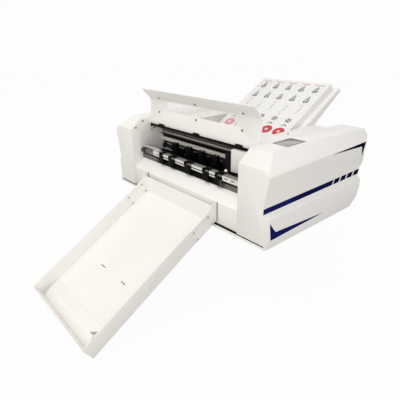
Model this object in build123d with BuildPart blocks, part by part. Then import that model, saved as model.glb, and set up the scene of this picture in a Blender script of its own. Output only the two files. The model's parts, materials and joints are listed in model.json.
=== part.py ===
from build123d import *
import math
import os

os.makedirs("parts", exist_ok=True)

# Desktop label die cutter: X to the right, Y to the back, Z up, origin on the underside of the
# base plate at the middle of the body. Depths are measured back from the pods' front faces.

# Driving dimensions, in millimetres

body_depth = 464.0
body_half_width = 354.0
body_height = 242.0
pod_width = 99.0
plate_wall = 3.0
bay_half_width = body_half_width - pod_width - plate_wall
shell_wall = 3.0
sheet_wall = 2.0
seat_gap = 0.2
fit_gap = 0.3
running_gap = 0.06
overrun = 5.0

front_y = -body_depth / 2


def at(depth):
    """Place along Y of a depth behind the pods' front faces."""
    return front_y + depth


def side_view(points):
    """Points given as depth and height, placed in the YZ plane."""
    return [(at(depth), height) for depth, height in points]


def moved_path(path, distance):
    """A bend line moved to its left by a distance, with mitred corners."""
    moved = []
    for index, point in enumerate(path):
        here = Vector(*point)
        before = here - Vector(*path[index - 1]) if index > 0 else None
        after = Vector(*path[index + 1]) - here if index < len(path) - 1 else None
        before = (before or after).normalized()
        after = (after or before).normalized()
        normals = Vector(-before.Y, before.X) + Vector(-after.Y, after.X)
        step = normals * (distance / (1 + before.dot(after)))
        moved.append((here.X + step.X, here.Y + step.Y))
    return moved


def folded(path, near, far):
    """Outline of a folded sheet that lies between two distances from its bend line."""
    return moved_path(path, near) + moved_path(path, far)[::-1]


# Base plate, a shallow pan

base_side_inset = 8.0
base_rear_inset = 59.0
base_half_width = body_half_width - base_side_inset
base_depth = body_depth - base_rear_inset
lip_height = 7.5
pan_floor = 3.0
foot_radius = 15.0
foot_side_inset = 46.0
foot_half_spacing = base_half_width - foot_side_inset
step_gap = 19.0
step_half_width = foot_half_spacing - foot_radius - step_gap
step_height = 1.0
rib_width = 20.0
rib_depths = (130.0, 270.0)

with BuildPart() as base_plate:
    with BuildSketch():
        with Locations((0, at(base_depth / 2))):
            Rectangle(2 * base_half_width, base_depth)
    extrude(amount=lip_height)
    with BuildSketch(Plane.XY.offset(pan_floor)):
        with Locations((0, at(base_depth / 2))):
            Rectangle(2 * (base_half_width - plate_wall), base_depth - 2 * plate_wall)
    extrude(amount=lip_height, mode=Mode.SUBTRACT)
    with BuildSketch(Plane.XY.offset(pan_floor)):
        for rib_depth in rib_depths:
            with Locations((0, at(rib_depth))):
                Rectangle(2 * base_half_width - plate_wall, rib_width)
    extrude(amount=lip_height - pan_floor)
    step_width = base_half_width - step_half_width
    for side_sign in (-1, 1):
        with BuildSketch():
            with Locations((side_sign * (step_half_width + step_width / 2), at(base_depth / 2))):
                Rectangle(step_width, base_depth)
        extrude(amount=step_height, mode=Mode.SUBTRACT)

base_plate.part.label = "base_plate"
export_step(base_plate.part, "parts/base_plate.step")

# Base gasket, the black seam that lies on the pan's lip

gasket_inset = 1.0
gasket_width = 8.0
gasket_height = 4.0
seam_top = lip_height + gasket_height
gasket_half_width = base_half_width - gasket_inset
gasket_depth = base_depth - 2 * gasket_inset

with BuildPart() as base_gasket:
    with BuildSketch(Plane.XY.offset(lip_height)):
        with Locations((0, at(base_depth / 2))):
            Rectangle(2 * gasket_half_width, gasket_depth)
            Rectangle(
                2 * (gasket_half_width - gasket_width),
                gasket_depth - 2 * gasket_width,
                mode=Mode.SUBTRACT,
            )
    extrude(amount=gasket_height)

base_gasket.part.label = "base_gasket"
export_step(base_gasket.part, "parts/base_gasket.step")

# Rubber feet, on the pan's raised side strips

foot_height = 9.0
foot_taper = 2.5
foot_front = 45.0
foot_rear_inset = 40.0
foot_rear = base_depth - foot_rear_inset

with BuildPart() as rubber_feet:
    for foot_depth in (foot_front, foot_rear):
        for foot_x in (-foot_half_spacing, foot_half_spacing):
            with BuildSketch(Plane.XY.offset(step_height)):
                with Locations((foot_x, at(foot_depth))):
                    Circle(foot_radius)
            with BuildSketch(Plane.XY.offset(-foot_height)):
                with Locations((foot_x, at(foot_depth))):
                    Circle(foot_radius - foot_taper)
            loft()

rubber_feet.part.label = "rubber_feet"
export_step(rubber_feet.part, "parts/rubber_feet.step")

# Pod shells: faceted housings with a groove along the side

pod_inner_x = bay_half_width + plate_wall
slope_rise = 32.0
slope_height = body_height - slope_rise
slope_depth = 41.0
fold_depth = 222.0
rear_fall = 5.0
rear_height = body_height - rear_fall
rear_lobe_height = 124.0
groove_inset = 14.0
groove_x = body_half_width - groove_inset
groove_low = 94.0
groove_high = 116.0
groove_rear_inset = 9.0
groove_depth = body_depth - groove_rear_inset
lobe_low = 84.0
lobe_rear_inset = 16.0
lobe_depth = body_depth - lobe_rear_inset
undercut_height = 60.0
knee_rear_inset = 27.0
knee_height = 29.0
undercut_knee = (body_depth - knee_rear_inset, knee_height)
undercut_margin = 4.0
undercut_depth = base_depth + undercut_margin
toe_height = 28.0
toe_inset = 3.0
brow_fall = 47.0
brow_height = body_height - brow_fall
brow_rise_share = 0.03
brow_slope_share = 1.294
brow_overhang = 1.0
facet_cut = 4.0
front_chamfer_inset = 7.0
front_flat_x = body_half_width - front_chamfer_inset
front_chamfer_depth = 11.0
rear_chamfer_side = 9.0
rear_chamfer_run = 17.0
rear_chamfer_x = body_half_width - rear_chamfer_side
rear_chamfer_depth = body_depth - rear_chamfer_run
side_drift = 13.0

brow_plane = Plane(
    origin=(body_half_width, front_y, brow_height),
    z_dir=(brow_slope_share, -brow_rise_share, 1),
)
slope_run = Vector(0, slope_depth, body_height - slope_height)
slope_normal = Vector(0, -slope_run.Z, slope_run.Y).normalized()
facet_origin = Vector(
    body_half_width - (slope_height - brow_height) / brow_slope_share, front_y, slope_height
)
facet_normal = (slope_normal + brow_plane.z_dir).normalized()
facet_plane = Plane(origin=facet_origin - facet_normal * facet_cut, z_dir=facet_normal)
rear_chamfer_plane = Plane(
    origin=(body_half_width, at(rear_chamfer_depth), 0),
    z_dir=(body_depth - rear_chamfer_depth, body_half_width - rear_chamfer_x, 0),
)
front_chamfer_plane = Plane(
    origin=(front_flat_x, front_y, 0),
    z_dir=(front_chamfer_depth, front_flat_x - body_half_width, 0),
)


def pod_block(inset, inner_x, bottom_z):
    """The right pod's faceted form, with its outside faces moved in by the inset."""
    side = [
        (0, bottom_z), (0, slope_height), (slope_depth, body_height), (fold_depth, body_height),
        (body_depth, rear_height), (body_depth, rear_lobe_height), (groove_depth, groove_high),
        (groove_depth, groove_low), (lobe_depth, groove_low), (lobe_depth, undercut_height),
        undercut_knee, (undercut_depth, 0), (undercut_depth, bottom_z),
    ]
    if bottom_z == 0:
        side.pop()
    brow_reach = (body_height - groove_high) / (brow_height - groove_high)
    front = [
        (inner_x, bottom_z), (body_half_width - toe_inset, bottom_z),
        (body_half_width, toe_height), (body_half_width, lobe_low), (groove_x, groove_low),
        (groove_x, groove_high), (groove_x + side_drift * brow_reach + brow_overhang, body_height),
        (inner_x, body_height),
    ]
    with BuildPart() as block:
        with BuildSketch(Plane.YZ.offset(inner_x - overrun)):
            with BuildLine():
                Polyline(side_view(side), close=True)
            make_face()
            if inset:
                offset(amount=-inset, kind=Kind.INTERSECTION)
        extrude(amount=2 * body_half_width - inner_x)
        with BuildSketch(Plane.XZ.offset(-at(body_depth) - overrun)):
            with BuildLine():
                Polyline(front, close=True)
            make_face()
            if inset:
                offset(amount=-inset, kind=Kind.INTERSECTION)
        extrude(amount=body_depth + 2 * overrun, mode=Mode.INTERSECT)
        split(bisect_by=brow_plane.offset(-inset), keep=Keep.BOTTOM)
        split(bisect_by=facet_plane.offset(-inset), keep=Keep.BOTTOM)
        split(bisect_by=rear_chamfer_plane.offset(-inset), keep=Keep.BOTTOM)
        with BuildSketch(front_chamfer_plane.offset(-inset)):
            Rectangle(4 * front_flat_x - 4 * groove_x, 2 * groove_low)
        extrude(amount=2 * (front_flat_x - groove_x) + overrun, mode=Mode.SUBTRACT)
    return block.part


pod_outside = pod_block(0, pod_inner_x, 0)
pod_inside = pod_block(shell_wall, pod_inner_x - 2 * shell_wall, -2 * shell_wall)

screen_margin = 9.0
screen_width = 52.5
screen_low_x = pod_inner_x + screen_margin
screen_high_x = screen_low_x + screen_width
screen_front = 110.7
screen_rear = 190.5
screen_x = (screen_low_x + screen_high_x) / 2
screen_depth = (screen_front + screen_rear) / 2
screen_length = screen_rear - screen_front

with BuildPart() as pod_core:
    add(pod_outside)
    add(pod_inside, mode=Mode.SUBTRACT)
    with BuildSketch():
        with Locations((0, at(base_depth / 2))):
            Rectangle(2 * (base_half_width + seat_gap), base_depth + 2 * seat_gap)
    extrude(amount=seam_top, mode=Mode.SUBTRACT)

with BuildPart() as right_pod_shell:
    add(pod_core.part)
    with BuildSketch(Plane.XY.offset(body_height)):
        with Locations((screen_x, at(screen_depth))):
            Rectangle(screen_width, screen_length)
    extrude(amount=-2 * shell_wall, mode=Mode.SUBTRACT)

right_pod_shell.part.label = "right_pod_shell"
export_step(right_pod_shell.part, "parts/right_pod_shell.step")

with BuildPart() as left_pod_shell:
    mirror(pod_core.part, about=Plane.YZ)

left_pod_shell.part.label = "left_pod_shell"
export_step(left_pod_shell.part, "parts/left_pod_shell.step")

# Screen: a bezel in the right pod's top and the glass in it

bezel_rim = 3.0
bezel_drop = 9.0
glass_drop = 0.8
glass_wall = 2.0

with BuildPart() as screen_bezel:
    with BuildSketch(Plane.XY.offset(body_height)):
        with Locations((screen_x, at(screen_depth))):
            Rectangle(screen_width - 2 * seat_gap, screen_length - 2 * seat_gap)
    extrude(amount=-bezel_drop)
    with BuildSketch(Plane.XY.offset(body_height)):
        with Locations((screen_x, at(screen_depth))):
            Rectangle(screen_width - 2 * bezel_rim, screen_length - 2 * bezel_rim)
    extrude(amount=-(glass_drop + glass_wall), mode=Mode.SUBTRACT)

screen_bezel.part.label = "screen_bezel"
export_step(screen_bezel.part, "parts/screen_bezel.step")

with BuildPart() as touch_screen:
    with BuildSketch(Plane.XY.offset(body_height - glass_drop)):
        with Locations((screen_x, at(screen_depth))):
            Rectangle(
                screen_width - 2 * bezel_rim - 2 * seat_gap,
                screen_length - 2 * bezel_rim - 2 * seat_gap,
            )
    extrude(amount=-glass_wall)

touch_screen.part.label = "touch_screen"
export_step(touch_screen.part, "parts/touch_screen.step")

# Places of the shafts and of the sheet path, as depth and height

sheet_path_height = 122.0
drive_place = (100.0, 112.0)
exit_place = (44.0, 132.0)
lift_place = (138.0, 131.0)
grit_radius = 10.0
journal_radius = 5.0
lift_radius = 6.5
exit_radius = 10.0
bushing_wall = 3.0

# Feed table frame: it slopes up to the back

feed_angle = 30.0
stack_foot = (195.0, 134.0)
stack_width = 297.0
stack_length = 420.0
stack_height = 22.0
feed_rise = math.radians(feed_angle)
feed_plane = Plane(
    origin=(0, at(stack_foot[0]), stack_foot[1]),
    x_dir=(1, 0, 0),
    z_dir=(0, -math.sin(feed_rise), math.cos(feed_rise)),
)
feed_roller_radius = 14.0
feed_roller_along = 25.0
feed_lift = feed_roller_radius + fit_gap
feed_place = (
    stack_foot[0] + feed_roller_along * math.cos(feed_rise) - feed_lift * math.sin(feed_rise),
    stack_foot[1] + feed_roller_along * math.sin(feed_rise) + feed_lift * math.cos(feed_rise),
)
shaft_bores = (
    (drive_place, journal_radius),
    (exit_place, journal_radius),
    (lift_place, lift_radius),
    (feed_place, journal_radius),
)

# Inner plates, which carry the shafts and close the pods

plate_inset = 1.0
plate_notch = 12.0
plate_rear_inset = 28.0
plate_rear = body_depth - plate_rear_inset
inner_plate_bottom = pan_floor

with BuildPart() as right_inner_plate:
    with BuildSketch(Plane.YZ.offset(bay_half_width)):
        with BuildLine():
            Polyline(
                side_view([
                    (plate_inset, seam_top),
                    (plate_notch, seam_top),
                    (plate_notch, inner_plate_bottom),
                    (rib_depths[0] - rib_width, inner_plate_bottom),
                    (rib_depths[0] - rib_width, seam_top),
                    (base_depth, seam_top),
                    (plate_rear, undercut_height),
                    (plate_rear, rear_height - plate_inset),
                    (fold_depth, body_height - plate_inset),
                    (slope_depth + plate_inset, body_height - plate_inset),
                    (plate_inset, slope_height - plate_inset),
                ]),
                close=True,
            )
        make_face()
        for place, bore in shaft_bores:
            with Locations(side_view([place])[0]):
                Circle(bore + bushing_wall, mode=Mode.SUBTRACT)
    extrude(amount=plate_wall)

right_inner_plate.part.label = "right_inner_plate"
export_step(right_inner_plate.part, "parts/right_inner_plate.step")

with BuildPart() as left_inner_plate:
    mirror(right_inner_plate.part, about=Plane.YZ)

left_inner_plate.part.label = "left_inner_plate"
export_step(left_inner_plate.part, "parts/left_inner_plate.step")

# Shaft bearings: flanged bushings in the inner plates

bushing_flange = 1.5
bushing_flange_wall = 1.2
bushing_seat_gap = 0.02

with BuildPart() as shaft_bearings:
    for place, bore in shaft_bores:
        for side_sign in (-1, 1):
            with BuildSketch(Plane.YZ.offset(side_sign * bay_half_width)):
                with Locations(side_view([place])[0]):
                    Circle(bore + bushing_wall - bushing_seat_gap)
                    Circle(bore + running_gap, mode=Mode.SUBTRACT)
            extrude(amount=side_sign * plate_wall)
            with BuildSketch(Plane.YZ.offset(side_sign * bay_half_width)):
                with Locations(side_view([place])[0]):
                    Circle(bore + bushing_wall + bushing_flange)
                    Circle(bore + running_gap, mode=Mode.SUBTRACT)
            extrude(amount=-side_sign * bushing_flange_wall)

shaft_bearings.part.label = "shaft_bearings"
export_step(shaft_bearings.part, "parts/shaft_bearings.step")

# Shell screws: button heads on the bay's side of the inner plates

button_radius = 3.0
button_height = 1.4
shell_screw_drops = ((48.5, 10.0), (18.6, 29.0), (84.0, 33.0), (94.0, 39.0), (84.0, 45.0))
shell_screw_places = [(depth, body_height - drop) for depth, drop in shell_screw_drops]

with BuildPart() as shell_screws:
    for side_sign in (-1, 1):
        for place in shell_screw_places:
            with BuildSketch(Plane.YZ.offset(side_sign * bay_half_width)):
                with Locations(side_view([place])[0]):
                    Circle(button_radius)
            extrude(amount=-side_sign * button_height)

shell_screws.part.label = "shell_screws"
export_step(shell_screws.part, "parts/shell_screws.step")

# Front panel with the sloping ledge

panel_half_width = bay_half_width - fit_gap
panel_face = 5.0
ledge_low = 76.0
ledge_rear = 40.0
ledge_high = 105.0
ledge_shelf = 13.0
panel_path = [
    (panel_face, seam_top),
    (panel_face, ledge_low),
    (ledge_rear, ledge_high),
    (ledge_rear + ledge_shelf, ledge_high),
]

with BuildPart() as front_panel:
    with BuildSketch(Plane.YZ.offset(-panel_half_width)):
        with BuildLine():
            Polyline(side_view(folded(panel_path, 0, -sheet_wall)), close=True)
        make_face()
    extrude(amount=2 * panel_half_width)

front_panel.part.label = "front_panel"
export_step(front_panel.part, "parts/front_panel.step")

# Exit guide, the black strip on the ledge's rear edge, with upright blocks before the exit shaft

guide_wall = 3.0
block_span_shares = (
    (-0.545, -0.465), (-0.34, -0.24), (-0.015, 0.105), (0.325, 0.42), (0.535, 0.635),
)
block_wall = 3.4
block_front = 31.0
block_height = 139.0
block_slant = 1.5
block_foot = 110.0
guide_top = sheet_path_height - 1.5 * button_height

with BuildPart() as exit_guide:
    with BuildSketch(Plane.YZ.offset(-panel_half_width)):
        with BuildLine():
            Polyline(
                side_view([
                    (ledge_rear, ledge_high),
                    (ledge_rear, guide_top),
                    (ledge_rear + guide_wall, guide_top),
                    (ledge_rear + guide_wall, ledge_high + guide_wall),
                    (ledge_rear + ledge_shelf, ledge_high + guide_wall),
                    (ledge_rear + ledge_shelf, ledge_high),
                ]),
                close=True,
            )
        make_face()
    extrude(amount=2 * panel_half_width)
    for low_share, high_share in block_span_shares:
        with BuildSketch(Plane.YZ.offset(low_share * bay_half_width)):
            with BuildLine():
                Polyline(
                    side_view([
                        (ledge_rear, block_foot),
                        (block_front, block_foot),
                        (block_front, block_height - block_slant),
                        (block_front + block_slant, block_height),
                        (block_front + block_wall, block_height),
                        (block_front + block_wall, guide_top),
                        (ledge_rear, guide_top),
                    ]),
                    close=True,
                )
            make_face()
        extrude(amount=(high_share - low_share) * bay_half_width)

exit_guide.part.label = "exit_guide"
export_step(exit_guide.part, "parts/exit_guide.step")

# Platen under the sheet path, with a slot for the grit sleeves

platen_front = ledge_rear + ledge_shelf + seat_gap
platen_rear = 127.0
platen_top = sheet_path_height - button_height / 2
platen_skirt = 16.0
platen_path = [
    (platen_front, platen_top - platen_skirt),
    (platen_front, platen_top),
    (platen_rear, platen_top),
    (platen_rear, platen_top - platen_skirt),
]
roller_slot_gap = 1.5
platen_half_width = bay_half_width - bushing_flange_wall - fit_gap
platen_bridge = 2.7
blade_depth = 64.0
strip_width = 8.0
strip_height = 1.5

with BuildPart() as platen:
    with BuildSketch(Plane.YZ.offset(-platen_half_width)):
        with BuildLine():
            Polyline(side_view(folded(platen_path, 0, -sheet_wall)), close=True)
        make_face()
    extrude(amount=2 * platen_half_width)
    with BuildSketch(Plane.XY.offset(platen_top)):
        with Locations((0, at(drive_place[0]))):
            Rectangle(2 * (platen_half_width - platen_bridge), 2 * (grit_radius + roller_slot_gap))
    extrude(amount=-2 * sheet_wall, mode=Mode.SUBTRACT)
    with BuildSketch(Plane.XY.offset(platen_top)):
        with Locations((0, at(blade_depth))):
            Rectangle(2 * platen_half_width, strip_width)
    extrude(amount=-strip_height, mode=Mode.SUBTRACT)

platen.part.label = "platen"
export_step(platen.part, "parts/platen.step")

# Cutting strip, let into the platen

with BuildPart() as cutting_strip:
    with BuildSketch(Plane.XY.offset(platen_top)):
        with Locations((0, at(blade_depth))):
            Rectangle(2 * platen_half_width, strip_width)
    extrude(amount=-strip_height)

cutting_strip.part.label = "cutting_strip"
export_step(cutting_strip.part, "parts/cutting_strip.step")

# Drive shaft with five grit sleeves and a toothed pulley outside the left plate

pinch_places = (-130.0, -58.0, 4.0, 70.0, 118.0)
sleeve_width = 26.0
drive_core_radius = 8.0
shaft_shoulder_gap = 4.0
shaft_tail = 6.0
pulley_radius = 18.0
pulley_width = 9.0
pulley_stand = 4.0
pulley_flange = 2.0
pulley_flange_wall = 1.2
shaft_half_length = bay_half_width - bushing_flange_wall - shaft_shoulder_gap
journal_half_length = bay_half_width + plate_wall + shaft_tail
pulley_x = bay_half_width + plate_wall + pulley_stand

with BuildPart() as drive_shaft:
    with BuildSketch(Plane.YZ.offset(-shaft_half_length)):
        with Locations(side_view([drive_place])[0]):
            Circle(drive_core_radius)
    extrude(amount=2 * shaft_half_length)
    with BuildSketch(Plane.YZ.offset(-pulley_x - pulley_width)):
        with Locations(side_view([drive_place])[0]):
            Circle(journal_radius)
    extrude(amount=pulley_x + pulley_width + journal_half_length)
    for pinch_x in pinch_places:
        with BuildSketch(Plane.YZ.offset(pinch_x - sleeve_width / 2)):
            with Locations(side_view([drive_place])[0]):
                Circle(grit_radius)
        extrude(amount=sleeve_width)
    with BuildSketch(Plane.YZ.offset(-pulley_x)):
        with Locations(side_view([drive_place])[0]):
            Circle(pulley_radius)
    extrude(amount=-pulley_width)
    for flange_x in (-pulley_x, -pulley_x - pulley_width + pulley_flange_wall):
        with BuildSketch(Plane.YZ.offset(flange_x)):
            with Locations(side_view([drive_place])[0]):
                Circle(pulley_radius + pulley_flange)
        extrude(amount=-pulley_flange_wall)

drive_shaft.part.label = "drive_shaft"
export_step(drive_shaft.part, "parts/drive_shaft.step")

# Media motor inside the left pod, on the outside of the inner plate

motor_side = 42.0
motor_length = 45.0
motor_shaft_radius = 3.0
motor_corner = 4.0
motor_flange_wall = 3.0
media_motor_place = (100.0, 60.0)

with BuildPart() as media_motor:
    with BuildSketch(Plane.YZ.offset(-pod_inner_x - motor_flange_wall)):
        with Locations(side_view([media_motor_place])[0]):
            RectangleRounded(motor_side, motor_side, motor_corner)
    extrude(amount=-motor_length)
    with BuildSketch(Plane.YZ.offset(-pod_inner_x)):
        with Locations(side_view([media_motor_place])[0]):
            Rectangle(motor_side + 2 * motor_corner, motor_side + 2 * motor_corner)
    extrude(amount=-motor_flange_wall)

media_motor.part.label = "media_motor"
export_step(media_motor.part, "parts/media_motor.step")

# Exit shaft, with a black ring near each end

ring_width = 10.0
ring_height = 2.0
ring_inset = 8.0
exit_ring_radius = exit_radius - ring_height / 2

with BuildPart() as exit_shaft:
    with BuildSketch(Plane.YZ.offset(-shaft_half_length)):
        with Locations(side_view([exit_place])[0]):
            Circle(exit_ring_radius)
    extrude(amount=2 * shaft_half_length)
    with BuildSketch(Plane.YZ.offset(-journal_half_length)):
        with Locations(side_view([exit_place])[0]):
            Circle(journal_radius)
    extrude(amount=2 * journal_half_length)
    for side_sign in (-1, 1):
        ring_x = side_sign * (shaft_half_length - ring_inset)
        with BuildSketch(Plane.YZ.offset(ring_x)):
            with Locations(side_view([exit_place])[0]):
                Circle(exit_radius)
        extrude(amount=-side_sign * ring_width)

exit_shaft.part.label = "exit_shaft"
export_step(exit_shaft.part, "parts/exit_shaft.step")

# Feed shaft with three rollers over the foot of the stack

feed_roller_places = (-75.0, 0.0, 75.0)
feed_roller_width = 24.0

with BuildPart() as feed_shaft:
    with BuildSketch(Plane.YZ.offset(-journal_half_length)):
        with Locations(side_view([feed_place])[0]):
            Circle(journal_radius)
    extrude(amount=2 * journal_half_length)
    for roller_x in feed_roller_places:
        with BuildSketch(Plane.YZ.offset(roller_x - feed_roller_width / 2)):
            with Locations(side_view([feed_place])[0]):
                Circle(feed_roller_radius)
        extrude(amount=feed_roller_width)

feed_shaft.part.label = "feed_shaft"
export_step(feed_shaft.part, "parts/feed_shaft.step")

# Lift shaft, with a lever behind the left plate

lever_length = 34.0
lever_half_width = 6.0
lever_wall = 4.0

with BuildPart() as lift_shaft:
    with BuildSketch(Plane.YZ.offset(-journal_half_length - lever_wall)):
        with Locations(side_view([lift_place])[0]):
            Circle(lift_radius)
    extrude(amount=2 * journal_half_length + lever_wall)
    with BuildSketch(Plane.YZ.offset(-journal_half_length)):
        with Locations(side_view([lift_place])[0]):
            Circle(lift_radius + bushing_wall)
            with Locations((0, lever_length / 2)):
                Rectangle(2 * lever_half_width, lever_length)
    extrude(amount=-lever_wall)

lift_shaft.part.label = "lift_shaft"
export_step(lift_shaft.part, "parts/lift_shaft.step")

# Pinch arms: they pivot on the lift shaft and each holds a wheel over its grit sleeve

arm_width = 22.0
fork_gap = 13.0
arm_boss_wall = 2.2
arm_boss_radius = lift_radius + arm_boss_wall
arm_floor = 124.5
arm_ceiling = 141.0
arm_nose = 88.0
arm_block_rear = 100.0
arm_block_top = 171.0
wheel_radius = 6.0
wheel_width = 12.0
wheel_bore = 1.5
wheel_place = (drive_place[0], sheet_path_height + fit_gap + wheel_radius)
fork_rear = wheel_place[0] + wheel_radius + overrun / 2
fork_top = wheel_place[1] + wheel_radius + overrun / 2
nose_cut = 6.0

for arm_number, pinch_x in enumerate(pinch_places, start=1):
    with BuildPart() as pinch_arm:
        with BuildSketch(Plane.YZ.offset(pinch_x - arm_width / 2)):
            with BuildLine():
                Polyline(
                    side_view([
                        (arm_nose, arm_floor + nose_cut / 2),
                        (arm_nose + nose_cut / 2, arm_floor),
                        (lift_place[0], arm_floor),
                        (lift_place[0], arm_ceiling - nose_cut / 4),
                        (arm_block_rear + nose_cut, arm_ceiling),
                        (arm_block_rear, arm_block_top),
                        (arm_nose + nose_cut / 2, arm_block_top),
                        (arm_nose, arm_block_top - nose_cut / 2),
                    ]),
                    close=True,
                )
            make_face()
            with Locations(side_view([lift_place])[0]):
                Circle(arm_boss_radius)
                Circle(lift_radius + running_gap, mode=Mode.SUBTRACT)
        extrude(amount=arm_width)
        with BuildSketch(Plane.YZ.offset(pinch_x - fork_gap / 2)):
            with BuildLine():
                Polyline(
                    side_view([
                        (arm_nose - overrun, arm_floor - overrun),
                        (fork_rear, arm_floor - overrun),
                        (fork_rear, fork_top),
                        (arm_nose - overrun, fork_top),
                    ]),
                    close=True,
                )
            make_face()
        extrude(amount=fork_gap, mode=Mode.SUBTRACT)
        with BuildSketch(Plane.YZ.offset(pinch_x - arm_width / 2)):
            with Locations(side_view([wheel_place])[0]):
                Circle(wheel_bore)
        extrude(amount=arm_width)
    pinch_arm.part.label = f"pinch_arm_{arm_number}"
    export_step(pinch_arm.part, f"parts/pinch_arm_{arm_number}.step")

    with BuildPart() as pinch_wheel:
        with BuildSketch(Plane.YZ.offset(pinch_x - wheel_width / 2)):
            with Locations(side_view([wheel_place])[0]):
                Circle(wheel_radius)
                Circle(wheel_bore + running_gap, mode=Mode.SUBTRACT)
        extrude(amount=wheel_width)
    pinch_wheel.part.label = f"pinch_wheel_{arm_number}"
    export_step(pinch_wheel.part, f"parts/pinch_wheel_{arm_number}.step")

# Guide beam: a round-topped extrusion with grooves along its front

beam_depth = 140.0
beam_radius = 15.0
beam_centre_height = 185.0
beam_bottom = 146.0
beam_half_depth = 8.0
beam_front = beam_depth - beam_half_depth
beam_rear = beam_depth + beam_half_depth
beam_groove = 2.0
beam_groove_heights = (149.0, 174.0)
beam_wall = 2.5
beam_half_length = bay_half_width - seat_gap

with BuildPart() as guide_beam:
    with BuildSketch(Plane.YZ.offset(-beam_half_length)):
        with Locations(side_view([(beam_depth, beam_centre_height)])[0]):
            Circle(beam_radius)
        with Locations(side_view([(beam_depth, (beam_bottom + beam_centre_height) / 2)])[0]):
            Rectangle(beam_rear - beam_front, beam_centre_height - beam_bottom)
        with Locations(side_view([(beam_depth, beam_centre_height)])[0]):
            Circle(beam_radius - beam_wall, mode=Mode.SUBTRACT)
        for groove_height in beam_groove_heights:
            with Locations(side_view([(beam_front, groove_height)])[0]):
                Rectangle(2 * beam_groove, beam_groove, mode=Mode.SUBTRACT)
    extrude(amount=2 * beam_half_length)

guide_beam.part.label = "guide_beam"
export_step(guide_beam.part, "parts/guide_beam.step")

# Linear rail on the beam's front face

rail_height = 12.0
rail_wall = 7.0
rail_middle = 161.0
rail_waist = 1.5
rail_half_length = bay_half_width - seat_gap
rail_front = beam_front - rail_wall

with BuildPart() as linear_rail:
    with BuildSketch(Plane.YZ.offset(-rail_half_length)):
        with BuildLine():
            Polyline(
                side_view([
                    (beam_front, rail_middle - rail_height / 2),
                    (beam_front, rail_middle + rail_height / 2),
                    (beam_front - rail_wall / 3, rail_middle + rail_height / 2),
                    (beam_front - rail_wall / 2, rail_middle + rail_height / 2 - rail_waist),
                    (beam_front - 2 * rail_wall / 3, rail_middle + rail_height / 2),
                    (rail_front, rail_middle + rail_height / 2),
                    (rail_front, rail_middle - rail_height / 2),
                    (beam_front - 2 * rail_wall / 3, rail_middle - rail_height / 2),
                    (beam_front - rail_wall / 2, rail_middle - rail_height / 2 + rail_waist),
                    (beam_front - rail_wall / 3, rail_middle - rail_height / 2),
                ]),
                close=True,
            )
        make_face()
    extrude(amount=2 * rail_half_length)

linear_rail.part.label = "linear_rail"
export_step(linear_rail.part, "parts/linear_rail.step")

# Carriage: a block that wraps the rail, with a clamp arm that carries the tool

carriage_side_gap = 22.0
carriage_block_width = 66.0
clamp_side_gap = 4.5
clamp_width = 29.5
carriage_high_x = bay_half_width - carriage_side_gap
carriage_block_low_x = carriage_high_x - carriage_block_width
clamp_high_x = carriage_block_low_x - clamp_side_gap
clamp_low_x = clamp_high_x - clamp_width
carriage_rear_gap = 1.0
carriage_rear = beam_front - carriage_rear_gap
carriage_front = 108.0
carriage_bottom = 145.0
carriage_top = 196.0
carriage_shoulder = 169.0
neck_gap = 2.0
carriage_neck = rail_front - neck_gap
carriage_neck_low = 173.0
bridge_low = 177.0
bridge_front = 84.0
tool_side_gap = 13.5
tool_place_x = clamp_high_x - tool_side_gap
holder_radius = 7.0
clamp_low = 131.0
clamp_high = 140.0
clamp_nose = 10.0
clamp_front = blade_depth - clamp_nose
clamp_wall = 6.0
clamp_rear = blade_depth + holder_radius + 2 * overrun
knob_stem_radius = 2.0
knob_height = (clamp_low + clamp_high) / 2

with BuildPart() as carriage:
    with BuildSketch(Plane.YZ.offset(carriage_block_low_x)):
        with BuildLine():
            Polyline(
                side_view([
                    (carriage_rear, carriage_bottom),
                    (carriage_rear, rail_middle - rail_height / 2 - running_gap),
                    (rail_front - running_gap, rail_middle - rail_height / 2 - running_gap),
                    (rail_front - running_gap, rail_middle + rail_height / 2 + running_gap),
                    (carriage_rear, rail_middle + rail_height / 2 + running_gap),
                    (carriage_rear, carriage_shoulder),
                    (carriage_neck, carriage_neck_low),
                    (carriage_neck, carriage_top),
                    (bridge_front, carriage_top),
                    (bridge_front, bridge_low),
                    (carriage_front, bridge_low),
                    (carriage_front, carriage_bottom),
                ]),
                close=True,
            )
        make_face()
    extrude(amount=carriage_high_x - carriage_block_low_x)
    with BuildSketch(Plane.YZ.offset(clamp_low_x)):
        with BuildLine():
            Polyline(
                side_view([
                    (clamp_front, clamp_low),
                    (clamp_rear, clamp_low),
                    (clamp_rear, carriage_top),
                    (clamp_rear - clamp_wall, carriage_top),
                    (clamp_rear - clamp_wall, clamp_high),
                    (clamp_front, clamp_high),
                ]),
                close=True,
            )
        make_face()
    extrude(amount=clamp_high_x - clamp_low_x)
    with BuildSketch(Plane.XY.offset(bridge_low)):
        with Locations(((clamp_low_x + carriage_high_x) / 2, at((clamp_rear + bridge_front) / 2))):
            Rectangle(carriage_high_x - clamp_low_x, bridge_front - clamp_rear + 2 * clamp_wall)
    extrude(amount=carriage_top - bridge_low)
    with BuildSketch(Plane.XY.offset(clamp_low)):
        with Locations((tool_place_x, at(blade_depth))):
            Circle(holder_radius + running_gap)
    extrude(amount=clamp_high - clamp_low, mode=Mode.SUBTRACT)
    with BuildSketch(Plane.YZ.offset(clamp_low_x)):
        with Locations(side_view([(blade_depth, knob_height)])[0]):
            Circle(knob_stem_radius + running_gap)
    extrude(amount=tool_place_x - clamp_low_x, mode=Mode.SUBTRACT)

carriage.part.label = "carriage"
export_step(carriage.part, "parts/carriage.step")

# Carriage cover, a white shell over the actuator: it sits on the bridge

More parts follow.
